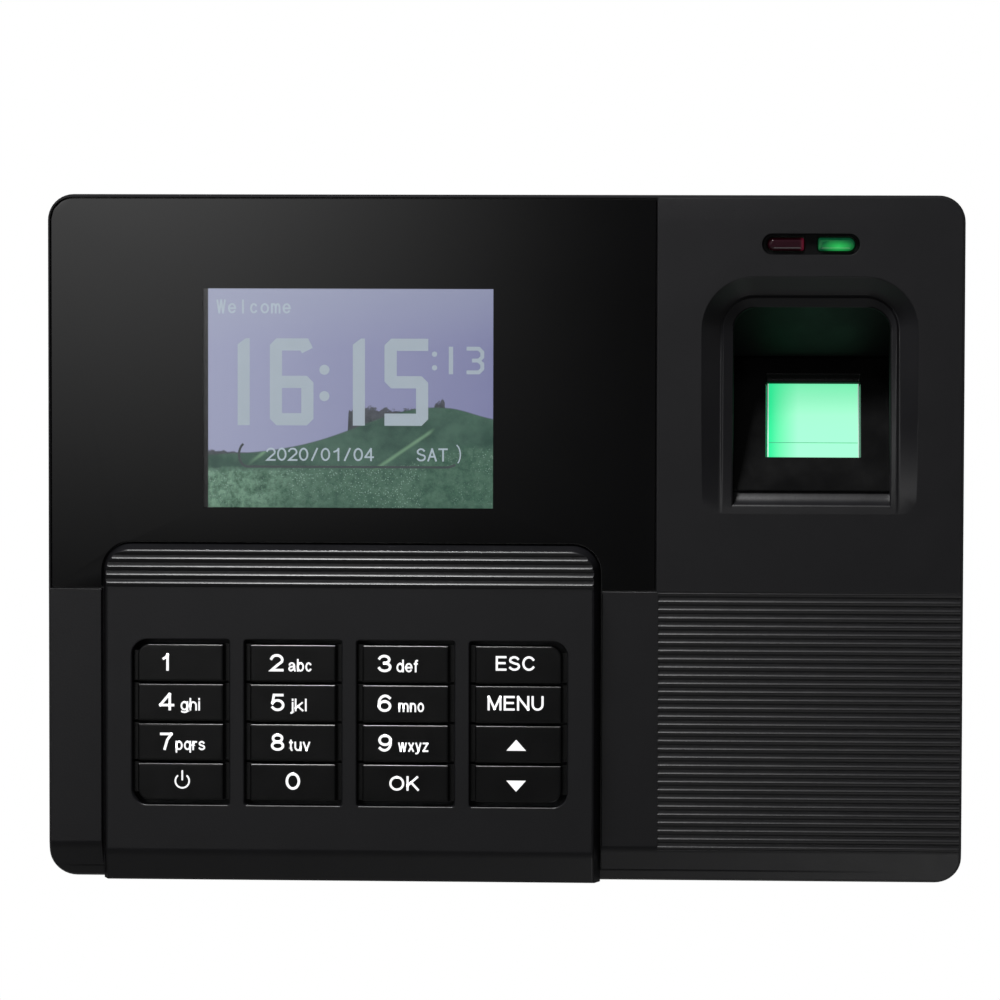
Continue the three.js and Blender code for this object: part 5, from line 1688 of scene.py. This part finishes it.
# ---------- fingerprint reader ----------
def reader_cover():
    x = COVER_HALF_X
    sheet = stack(lambda inset: rounded(-x + inset, COVER_BOTTOM + inset, x - inset,
                                        COVER_TOP - inset, 2),
                  edge_rows(GAP, GAP + COVER_THICK, 0.3, 0.2, 3))
    half_x, half_z = READER_WIDTH / 2, READER_HEIGHT / 2

    def opening(y, side, top):
        return [(px + READER_SHIFT_X, y, pz + READER_SHIFT_Z) for px, pz in rounded(
            -half_x - side, -half_z - 0.02, half_x + side, half_z + top, 0.25, 4)]

    hole = loft([opening(-1, 0.3, 1.9), opening(GAP, 0.3, 1.9), opening(0.42, 0.22, 1.6),
                 opening(1.0, 0.12, 1.05), opening(1.15, 0.1, 0.35), opening(1.7, 0.0, 0.1),
                 opening(4, 0, 0.1)])
    screws = [bar_y(side * SENSOR_SCREW_X, 0, 1.4, -1, 4, sides=24) for side in (-1, 1)]
    return tilted(cut(sheet, hole, *screws))


def reader_prism():
    """The prism: its lit face leans in from the lower edge, and its edges are polished."""
    half = READER_WIDTH / 2 - 0.12
    rise = READER_HEIGHT / 2 - 0.1
    edge = 0.2
    front = [(-half, 0.45, -rise), (half, 0.45, -rise), (half, 0.95, rise), (-half, 0.95, rise)]
    back = [(x * 0.995, 7.6 if abs(z) < 1 else 2.6, z) for x, z in (
        (-half, -rise), (half, -rise), (half, rise), (-half, rise))]
    face = [(x - math.copysign(edge, x), y - 0.0, z - math.copysign(edge * 0.4, z))
            for x, y, z in front]
    rim = [(x, y + edge * 0.8, z) for x, y, z in front]
    ridge = [(-half, 7.4, -1), (half, 7.4, -1), (half, 7.4, 1), (-half, 7.4, 1)]
    shift = Matrix.Translation((READER_SHIFT_X, 0, READER_SHIFT_Z))
    prism = loft([face, rim, back, ridge])
    prism.data.transform(shift)
    return tilted(prism)


def mark_prism_edges(obj):
    """The polished bevels at the two sides catch the light of the prism."""
    for face in obj.data.polygons:
        side = abs(face.normal.x)
        face.material_index = int(0.2 < side < 0.99 and face.center.y < -0.015)


def bright_edge():
    material, principled, place = shader("prism_edge", (0.5, 0.7, 0.6), 0.15)
    tone = noise(material, place, 300, 2)
    ramp = material.node_tree.nodes.new("ShaderNodeValToRGB")
    ramp.color_ramp.elements[0].color = (0.35, 0.62, 0.5, 1)
    ramp.color_ramp.elements[1].color = (0.7, 0.9, 0.8, 1)
    link(material, tone, ramp.inputs["Fac"])
    link(material, ramp.outputs["Color"], principled.inputs["Emission Color"])
    principled.inputs["Emission Strength"].default_value = 0.7
    return material


def build_reader():
    as_piece(reader_cover(), "reader_cover", COVER_GLOSS, ("sensor_cover",))
    prism = as_piece(reader_prism(), "reader_prism", [prism_glow(), bright_edge()],
                     ("sensor_prism",), crease=10)
    mark_prism_edges(prism)
    line_z = 19.4
    local = (line_z - COVER_Z) / math.cos(TILT)
    half = READER_WIDTH / 2 - 0.35
    seam = tilted(box(READER_SHIFT_X - half, READER_SHIFT_X + half, 0.52, 0.9, local - 0.06,
                      local + 0.06))
    as_piece(seam, "prism_seam", lit_seam())


def lit_seam():
    material, principled, place = shader("prism_seam", (0.02, 0.2, 0.1), 0.3)
    tint(material, principled, noise(material, place, 400, 2), (0.01, 0.12, 0.06), (0.03, 0.25, 0.12))
    principled.inputs["Emission Color"].default_value = (0.05, 0.5, 0.25, 1)
    principled.inputs["Emission Strength"].default_value = 0.45
    return material


# ---------- rear ----------
def recess_outline(gap):
    return rounded(-BRACKET_HALF - gap, BRACKET_BOTTOM - gap, BRACKET_HALF + gap,
                   BRACKET_TOP + gap, BRACKET_R + gap)


def rear_cavity():
    outline = lambda inset: rounded(
        WALL - HALF_WIDTH, WALL - HALF_HEIGHT, HALF_WIDTH - WALL, HALF_HEIGHT - WALL, CORNER_R - WALL)
    whole = stack(outline, [(0, PARTING_Y - BEYOND), (0, BACK_Y - WALL)])
    shelf = RECESS_Y - WALL
    wall = RECESS_GAP + WALL
    inner = TONGUE_HALF + wall
    return cut(
        whole,
        plate(recess_outline(wall), shelf, 0.5),
        box(-inner, inner, shelf, 0.6, TAB_Z - wall, BRACKET_BOTTOM + 2),
        box(-inner, inner, TAB_POCKET_Y - WALL, 0.7, -HALF_HEIGHT, TAB_Z + 7))


def speaker_slot(i):
    z = SPEAKER[1] + (i - (SPEAKER_SLOTS - 1) / 2) * SPEAKER_SLOT_PITCH
    reach = math.sqrt((SPEAKER_R - 3) ** 2 - (z - SPEAKER[1]) ** 2)
    rise = SPEAKER_SLOT_WIDTH / 2

    def outline(inset):
        return rounded(SPEAKER[0] - reach + inset, z - rise + inset, SPEAKER[0] + reach - inset,
                       z + rise - inset, rise - inset - 0.02, 6)

    return stack(outline, back_hole_rows(BACK_Y - BEYOND, BACK_Y, 0.25, 4))


def round_hole(x, z, radius, front, face, rim=0.3):
    return stack(lambda inset: circle(x, z, radius - inset), back_hole_rows(front, face, rim, 4))


def hook_slot(side):
    x = side * HOOK_X
    half = HOOK_WIDTH / 2 + 1
    top = HOOK_Z + BRACKET_THICK + GAP
    drop = BRACKET_THICK + HOOK_RISE + 1
    outline = lambda inset: rounded(x - half + inset, top - drop + inset, x + half - inset,
                                    top - inset, 0.8)
    return stack(outline, back_hole_rows(RECESS_Y - BEYOND, RECESS_Y, 0.25, 3))


def socket_mouths():
    low, high = -HALF_HEIGHT - 1, -HALF_HEIGHT + WALL + 1
    rim = 0.3
    half, rise = USB_WIDTH / 2 + GAP, USB_HEIGHT / 2 + GAP

    def usb_ring(out, z):
        return [(x, y, z) for x, y in rounded(
            USB_X - half - out, USB_Y - rise - out, USB_X + half + out, USB_Y + rise + out, 0.6)]

    usb = loft([usb_ring(rim, low), usb_ring(rim, -HALF_HEIGHT), usb_ring(rim * 0.3, -HALF_HEIGHT + 0.12),
                usb_ring(0, -HALF_HEIGHT + rim), usb_ring(0, high)])
    r = DC_HOLE_R + 0.6
    power = turned_z([(r + rim, low), (r + rim, -HALF_HEIGHT), (r + rim * 0.3, -HALF_HEIGHT + 0.12),
                      (r, -HALF_HEIGHT + rim), (r, high)], DC_X, DC_Y)
    return [usb, power]


def seam_rib(outline):
    """The low rib around the rear housing's edge that closes the joint to the front one."""
    front, back = PARTING_Y - SEAM_RIB["rise"], PARTING_Y + SEAM_RIB["root"]
    return cut(plate(outline(SEAM_RIB["outer"]), front, back),
               plate(outline(SEAM_RIB["inner"]), front - 1, back + 1))


def rear_housing():
    rim = 0.25
    outline = lambda inset: rounded(inset - HALF_WIDTH, inset - HALF_HEIGHT, HALF_WIDTH - inset,
                                    HALF_HEIGHT - inset, CORNER_R - inset)
    rows = [(rim, PARTING_Y), (0, PARTING_Y + rim)]
    rows += edge_rows(PARTING_Y + 1, BACK_Y, 0, BACK_EDGE, 7)[1:]
    block = stack(outline, rows)
    posts = [bar_y(x, z, 3, BOARD_Y[1] + GAP, -2) for x, z in BOARD_SCREWS]
    pocket = TONGUE_HALF + RECESS_GAP
    low = TAB_Z - RECESS_GAP
    shell = join(cut(block, rear_cavity()), seam_rib(outline), *posts,
                 *pillars(PILLAR_R + 0.8, PARTING_Y, BACK_Y - 2))
    recess = stack(lambda inset: recess_outline(RECESS_GAP - inset),
                   back_hole_rows(RECESS_Y, BACK_Y, 0.3, 4))
    channel = stack(lambda inset: rounded(-pocket + inset, low + inset, pocket - inset,
                                          BRACKET_BOTTOM + 2 - inset, 0.6),
                    back_hole_rows(RECESS_Y - 0.01, BACK_Y, 0.3, 4))
    tab_room = box(-pocket, pocket, TAB_POCKET_Y, RECESS_Y + 0.02, low - 3, TAB_Z + 5)
    tab_mouth = box(-pocket, pocket, RECESS_Y - 0.01, 1, low - 3, low + 1)
    return cut(
        shell, recess, channel, tab_room, tab_mouth,
        bar_z(0, LOCK_Y, 1.7, -HALF_HEIGHT - 1, TAB_Z),
        turned_z([(3.3, -HALF_HEIGHT - 1), (3.3, -HALF_HEIGHT), (3.0, -HALF_HEIGHT + 0.3),
                  (3, -HALF_HEIGHT + 2.4)], 0, LOCK_Y),
        *[bar_y(x, z, 1.4, BOARD_Y[1] - 1, -2.6) for x, z in BOARD_SCREWS],
        *pillars(1.8, PARTING_Y - 1, -5),
        *[round_hole(x * CASE_SCREW_X, z * CASE_SCREW_Z, 3.2, -5.7, BACK_Y)
          for x in (-1, 1) for z in (-1, 1)],
        hook_slot(-1), hook_slot(1),
        *[speaker_slot(i) for i in range(SPEAKER_SLOTS)],
        *socket_mouths(),
    )


def cross_recess(x, z, top, depth, reach, direction=1):
    """A cross-shaped driver recess in a screw head whose top is at y = top."""
    def arm(wide, high):
        def ring(y, shrink):
            return [(px, y, pz) for px, pz in rounded(
                x - wide * shrink, z - high * shrink, x + wide * shrink, z + high * shrink, 0.08, 3)]
        return loft([ring(top + direction * 0.5, 1.05), ring(top, 1.0),
                     ring(top - direction * depth, 0.55)])
    return [arm(reach, 0.3), arm(0.3, reach)]


def screw_y(x, z, shank_r, shank_end, neck, head_r, head_top, sides=36):
    """A pan-head screw along y, whose head faces the back."""
    direction = 1 if head_top > shank_end else -1
    crown = head_top - direction * 0.55
    profile = [(0.01, shank_end), (shank_r * 0.7, shank_end + direction * 0.4)]
    turns = int(abs(neck - shank_end) / 0.9)
    for i in range(turns):
        y = shank_end + direction * (0.6 + i * (abs(neck - shank_end) - 0.9) / max(turns, 1))
        profile += [(shank_r * 0.78, y), (shank_r, y + direction * 0.3)]
    profile += [(shank_r * 0.8, neck), (head_r, neck), (head_r, neck + direction * 0.35),
                (head_r * 0.93, crown), (head_r * 0.7, head_top - direction * 0.12),
                (head_r * 0.35, head_top), (0.01, head_top)]
    body = turned_y(profile, x, z, sides)
    return cut(body, *cross_recess(x, z, head_top, 0.9, head_r * 0.62, direction))


def build_screws():
    corners = [(-1, 1), (1, 1), (1, -1), (-1, -1)]
    for i, (sx, sz) in enumerate(corners):
        screw = screw_y(sx * CASE_SCREW_X, sz * CASE_SCREW_Z, 1.1, -23.6, -5.4, 2.7, -3.4)
        as_piece(screw, f"case_screw_head_{i + 1}", DARK_SCREW,
                 (f"case_screw_{i + 1}",), crease=30)
    for i, (x, z) in enumerate(BOARD_SCREWS):
        front = BOARD_Y[0] - GAP
        screw = screw_y(x, z, 1.1, -2.9, front, 2.5, front - 1.7)
        as_piece(screw, f"board_screw_pan_{i + 1}", STEEL,
                 (f"board_screw_{i + 1}",), crease=30)


def wall_bracket():
    half, thick = BRACKET_HALF, BRACKET_THICK
    plate_rows = edge_rows(-thick, 0, 0.15, 0.0, 2)
    sheet = stack(lambda inset: rounded(-half + inset, BRACKET_BOTTOM + inset, half - inset,
                                        BRACKET_TOP - inset, BRACKET_R), plate_rows)
    parts = [box(-TONGUE_HALF, TONGUE_HALF, -thick, 0, TAB_Z, BRACKET_BOTTOM + 1),
             box(-TONGUE_HALF, TONGUE_HALF, -TAB_DEPTH, 0, TAB_Z, TAB_Z + thick)]
    for side in (-1, 1):
        x0 = side * HOOK_X - HOOK_WIDTH / 2
        x1 = x0 + HOOK_WIDTH
        reach = RECESS_Y - WALL - GAP
        parts.append(box(x0, x1, reach - thick, -0.01, HOOK_Z, HOOK_Z + thick))
        parts.append(box(x0, x1, reach - thick, reach, HOOK_Z, HOOK_Z + thick + HOOK_RISE))
    holes = [stack(lambda inset, x=x, z=z: circle(x, z, 2.2 - inset),
                   back_hole_rows(-thick - 1, 0, 0.0, 1)) for x, z in WALL_HOLES]
    return cut(join(sheet, *parts), bar_z(0, LOCK_Y, 1.8, TAB_Z - 1, TAB_Z + thick + 1), *holes)


def bracket_screw():
    low = -HALF_HEIGHT + GAP
    profile = [(0.01, low), (1.3, low + 0.02), (2.1, low + 0.15), (2.55, low + 0.5),
               (2.7, low + 1.0), (2.7, low + 1.8), (1.1, low + 1.8)]
    for i in range(5):
        z = low + 2.4 + i * 1.1
        profile += [(1.1, z), (1.4, z + 0.35)]
    profile += [(1.0, TAB_Z + 3), (0.01, TAB_Z + 3.4)]
    body = turned_z(profile, 0, LOCK_Y, 36)
    arms = []
    for wide, high in ((1.7, 0.3), (0.3, 1.7)):
        ring = lambda z, s, wide=wide, high=high: [
            (x, y, z) for x, y in rounded(-wide * s, LOCK_Y - high * s, wide * s, LOCK_Y + high * s,
                                          0.08, 3)]
        arms.append(loft([ring(low - 0.5, 1.05), ring(low, 1.0), ring(low + 0.9, 0.55)]))
    return cut(body, *arms)


def usb_socket():
    low = -HALF_HEIGHT + 0.5
    half, rise = USB_WIDTH / 2, USB_HEIGHT / 2

    def ring(inset, z):
        return [(x, y, z) for x, y in rounded(
            USB_X - half + inset, USB_Y - rise + inset, USB_X + half - inset, USB_Y + rise - inset,
            max(0.5 - inset, 0.1), 4)]

    shell = loft([ring(0.1, low), ring(0, low + 0.15), ring(0, low + SOCKET_DEPTH)])
    mouth = loft([ring(USB_WALL - 0.15, low - 1), ring(USB_WALL - 0.15, low), ring(USB_WALL, low + 0.2),
                  ring(USB_WALL, low + SOCKET_DEPTH - 1)])
    return cut(shell, mouth)


def usb_tongue():
    low = -HALF_HEIGHT + 0.9
    half = USB_WIDTH / 2 - 0.9
    y0 = USB_Y + 0.35
    tongue = box(USB_X - half, USB_X + half, y0, y0 + 1.7, low, low + SOCKET_DEPTH - 1.5)
    return tongue


def usb_contacts():
    low = -HALF_HEIGHT + 1.4
    y0 = USB_Y + 0.35
    pads = []
    for offset in (-3.5, -1.0, 1.0, 3.5):
        x = USB_X + offset
        pads.append(box(x - 0.5, x + 0.5, y0 - 0.12, y0 + 0.1, low, low + 8))
    return merge(pads)


def dc_socket():
    low = -HALF_HEIGHT + WALL + GAP
    back = BOARD_Y[0] - GAP
    body = soft_box(DC_X - 4.5, DC_X + 4.5, -17, back, low, low + SOCKET_DEPTH, 0.35)
    bore = turned_z([(DC_HOLE_R + 0.4, low - 1), (DC_HOLE_R + 0.4, low), (DC_HOLE_R, low + 0.4),
                     (DC_HOLE_R, low + 10)], DC_X, DC_Y)
    return cut(body, bore)


def dc_pin():
    low = -HALF_HEIGHT + WALL + GAP
    return turned_z([(0.01, low + 1), (0.55, low + 1.1), (0.9, low + 1.5), (1, low + 2),
                     (1, low + 11)], DC_X, DC_Y, 24)


def build_rear():
    as_piece(rear_housing(), "rear_shell", CASE, ("rear_housing",), crease=30)
    as_piece(wall_bracket(), "bracket_plate", BRUSHED, ("wall_bracket",), crease=30,
             bevel=0.12)
    as_piece(bracket_screw(), "bracket_screw_pan", STEEL, ("bracket_screw",), crease=30)
    as_piece(usb_socket(), "usb_shell", STEEL, ("usb_socket",), crease=30)
    as_piece(usb_tongue(), "usb_tongue", BLACK, bevel=0.15)
    as_piece(usb_contacts(), "usb_contacts", GOLD, bevel=0.04)
    as_piece(dc_socket(), "dc_body", BLACK, ("dc_socket",), crease=30)
    as_piece(dc_pin(), "dc_pin", STEEL, crease=30)
    build_speaker()
    build_screws()


def build_speaker():
    r = SPEAKER_R
    basket = [(r, -2.8), (r - 1.6, -2.8), (r - 1.6, -4), (r - 4, -6.6), (5, -6.6), (5, -7.4),
              (r - 3, -7.4), (r, -4.2)]
    ring = [[(px, y, pz) for px, pz in circle(*SPEAKER, radius, 48)] for radius, y in basket]
    count = len(ring[0])
    points = [p for row in ring for p in row]
    faces = []
    for i in range(len(ring)):
        a, b = i * count, ((i + 1) % len(ring)) * count
        faces += [[a + j, b + j, b + (j + 1) % count, a + (j + 1) % count] for j in range(count)]
    as_piece(mesh_object(points, faces), "speaker_basket", BRUSHED,
             ("speaker_frame",))
    edge = r - 2
    cone = [(0.01, -6.1), (3, -6.1), (edge - 1.4, -4.4), (edge, -4), (edge, -3.6),
            (edge - 0.5, -3.3), (edge - 1.1, -3.25), (edge - 1.6, -3.9), (5.2, -5.0), (3.6, -5.6),
            (3.0, -4.9), (1.8, -4.5), (0.01, -4.35)]
    as_piece(turned_y(cone, *SPEAKER, 48), "speaker_diaphragm", CONE,
             ("speaker_cone",))


# ---------- inside ----------
INSIDE_MATERIALS = {
    "keypad_board": BOARD, "led_board": BOARD, "sensor_board": BOARD, "main_board": BOARD,
    "keypad_cable": FILM, "lcd_cable": FILM, "sensor_cable": FILM,
    "keypad_screw_left": STEEL, "keypad_screw_right": STEEL,
    "sensor_screw_left": STEEL, "sensor_screw_right": STEEL,
    "sensor_body": BLACK, "sensor_lens": GLOSS, "processor": BLACK, "memory_chip": BLACK,
    "cell_holder": BLACK, "backup_cell": STEEL, "speaker_magnet": FERRITE,
}


def dress_inside():
    """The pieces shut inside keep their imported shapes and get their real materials."""
    for name, material in INSIDE_MATERIALS.items():
        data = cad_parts[name].data
        data.materials.clear()
        data.materials.append(material)


# ---------- build ----------
# The second material paints shade onto the walls of the finger pocket and the light slot.
shell = as_piece(front_housing(), "front_shell", [CASE, POCKET_PAINTED_SHADE],
                 ("front_housing",), crease=30)
mark_pocket_painted_shade(shell)
window = as_piece(window_panel(), "window_plate", [GLOSS, CLEAR],
                  ("window_panel",), bevel=0.12)
mark_patch(window)
as_piece(keypad_panel(), "keypad_cover", PANEL_PLASTIC, ("keypad_panel",), crease=30)
build_keys()
build_rubber()
build_display()
build_indicator()
build_reader()
build_rear()
dress_inside()


# ---------- stage ----------
CAMERA_TARGET = Vector((-2.388, 0, 6.163))
CAMERA_DISTANCE = 1000
CAMERA_YAW = math.radians(3.033)
CAMERA_PITCH = math.radians(2.953)
CAMERA_ROLL = math.radians(0.1326)
CAMERA_LENS = 175.72
FLOOR_Z = -600
FLOOR_RADIUS = 1100


def add_camera():
    back = Vector((math.sin(CAMERA_YAW) * math.cos(CAMERA_PITCH),
                   -math.cos(CAMERA_YAW) * math.cos(CAMERA_PITCH), math.sin(CAMERA_PITCH)))
    data = bpy.data.cameras.new("camera")
    data.lens = CAMERA_LENS
    data.sensor_width = 36
    data.clip_end = 50
    camera = bpy.data.objects.new("camera", data)
    bpy.context.scene.collection.objects.link(camera)
    level = (-back).to_track_quat("-Z", "Y").to_matrix().to_4x4()
    roll = Matrix.Rotation(CAMERA_ROLL, 4, "Z")
    place = (CAMERA_TARGET + back * CAMERA_DISTANCE) * MM
    camera.matrix_world = Matrix.Translation(place) @ level @ roll
    bpy.context.scene.camera = camera


def add_floor():
    rings = [(FLOOR_RADIUS, FLOOR_Z), (FLOOR_RADIUS, FLOOR_Z - 4), (0.01, FLOOR_Z - 4)]
    floor = turned_z([(0.01, FLOOR_Z), *rings], 0, 0, 96)
    floor.name = "floor"
    floor.data.transform(Matrix.Scale(MM, 4))
    floor.data.materials.append(floor_paint())


def add_softbox(name, place, aim, size, power):
    light = bpy.data.lights.new(name, "AREA")
    light.shape = "RECTANGLE"
    light.size, light.size_y = size
    light.energy = power
    light.spread = math.pi
    holder = bpy.data.objects.new(name, light)
    bpy.context.scene.collection.objects.link(holder)
    holder.location = place
    holder.visible_camera = False
    holder.rotation_mode = "QUATERNION"
    holder.rotation_quaternion = (Vector(aim) - Vector(place)).to_track_quat("-Z", "Y")
    return holder


def add_sky():
    """Soft light all round with a dark gap in front, which the glossy faces look into, and a
    glow at the gap's left. The camera itself sees a plain pale backdrop."""
    world = bpy.data.worlds.new("studio")
    bpy.context.scene.world = world
    world.use_nodes = True
    tree = world.node_tree
    background = tree.nodes["Background"]
    direction = tree.nodes.new("ShaderNodeTexCoord").outputs["Generated"]
    axes = tree.nodes.new("ShaderNodeSeparateXYZ")
    tree.links.new(direction, axes.inputs["Vector"])

    def ease(value, start, stop, low, high):
        made = tree.nodes.new("ShaderNodeMapRange")
        made.interpolation_type = "SMOOTHSTEP"
        for name, number in (("From Min", start), ("From Max", stop), ("To Min", low),
                             ("To Max", high)):
            made.inputs[name].default_value = number
        tree.links.new(value, made.inputs["Value"])
        return made.outputs["Result"]

    def lobe(aim, inner, outer, strength):
        product = tree.nodes.new("ShaderNodeVectorMath")
        product.operation = "DOT_PRODUCT"
        product.inputs[1].default_value = Vector(aim).normalized()
        tree.links.new(direction, product.inputs[0])
        return ease(product.outputs["Value"], math.cos(math.radians(outer)),
                    math.cos(math.radians(inner)), 0, strength)

    def combine(operation, first, second):
        made = tree.nodes.new("ShaderNodeMath")
        made.operation = operation
        for socket, value in zip(made.inputs, (first, second)):
            if isinstance(value, (int, float)):
                socket.default_value = value
            else:
                tree.links.new(value, socket)
        return made.outputs["Value"]

    total = combine("SUBTRACT", SKY_FILL, lobe(FRONT, *FRONT_GAP, SKY_FILL - GAP_LIGHT))
    for aim, inner, outer, strength in SKY_LOBES:
        total = combine("ADD", total, lobe(aim, inner, outer, strength))
    glow = lobe(FRONT, 40, 60, GLOW_LIGHT)
    for axis, edges in GLOW_EDGES.items():
        rise, fall = edges
        sine = [math.sin(math.radians(angle)) for angle in (*rise, *fall)]
        glow = combine("MULTIPLY", glow, ease(axes.outputs[axis], sine[0], sine[1], 0, 1))
        glow = combine("MULTIPLY", glow, ease(axes.outputs[axis], sine[2], sine[3], 1, 0))
    total = combine("ADD", total, glow)
    seen = tree.nodes.new("ShaderNodeLightPath").outputs["Is Camera Ray"]
    mix = tree.nodes.new("ShaderNodeMix")
    mix.data_type = "FLOAT"
    tree.links.new(seen, mix.inputs["Factor"])
    tree.links.new(total, mix.inputs[2])
    mix.inputs[3].default_value = 1.0
    tree.links.new(mix.outputs[0], background.inputs["Strength"])
    background.inputs["Color"].default_value = (1, 1, 1, 1)


FRONT = (0, -1, 0)
FRONT_GAP = (14, 45)
GAP_LIGHT = 0.05
SKY_FILL = 0.06
SKY_LOBES = [((-1, -0.35, 0.25), 6, 28, 0.12), ((1, -0.5, 0.1), 5, 20, 0.08)]
GLOW_LIGHT = 2.4
GLOW_EDGES = {
    "X": ((-24, -14), (-7.8, -1.0)),
    "Z": ((-5.6, 7), (12, 24)),
}

# Lights: name, place, the point that they face, size and strength, in metres and watts.
SOFTBOXES = [
    ("top_light", (-0.07, -0.165, 0.4), (0, 0, 0), (0.08, 0.08), 1.78),
    ("low_light", (0.17, -0.34, -0.5), (0.05, 0, -0.06), (0.24, 0.2), 0.12),
]

add_camera()
add_floor()
add_sky()
for softbox in SOFTBOXES:
    add_softbox(*softbox)
bpy.context.scene.view_settings.view_transform = "Standard"
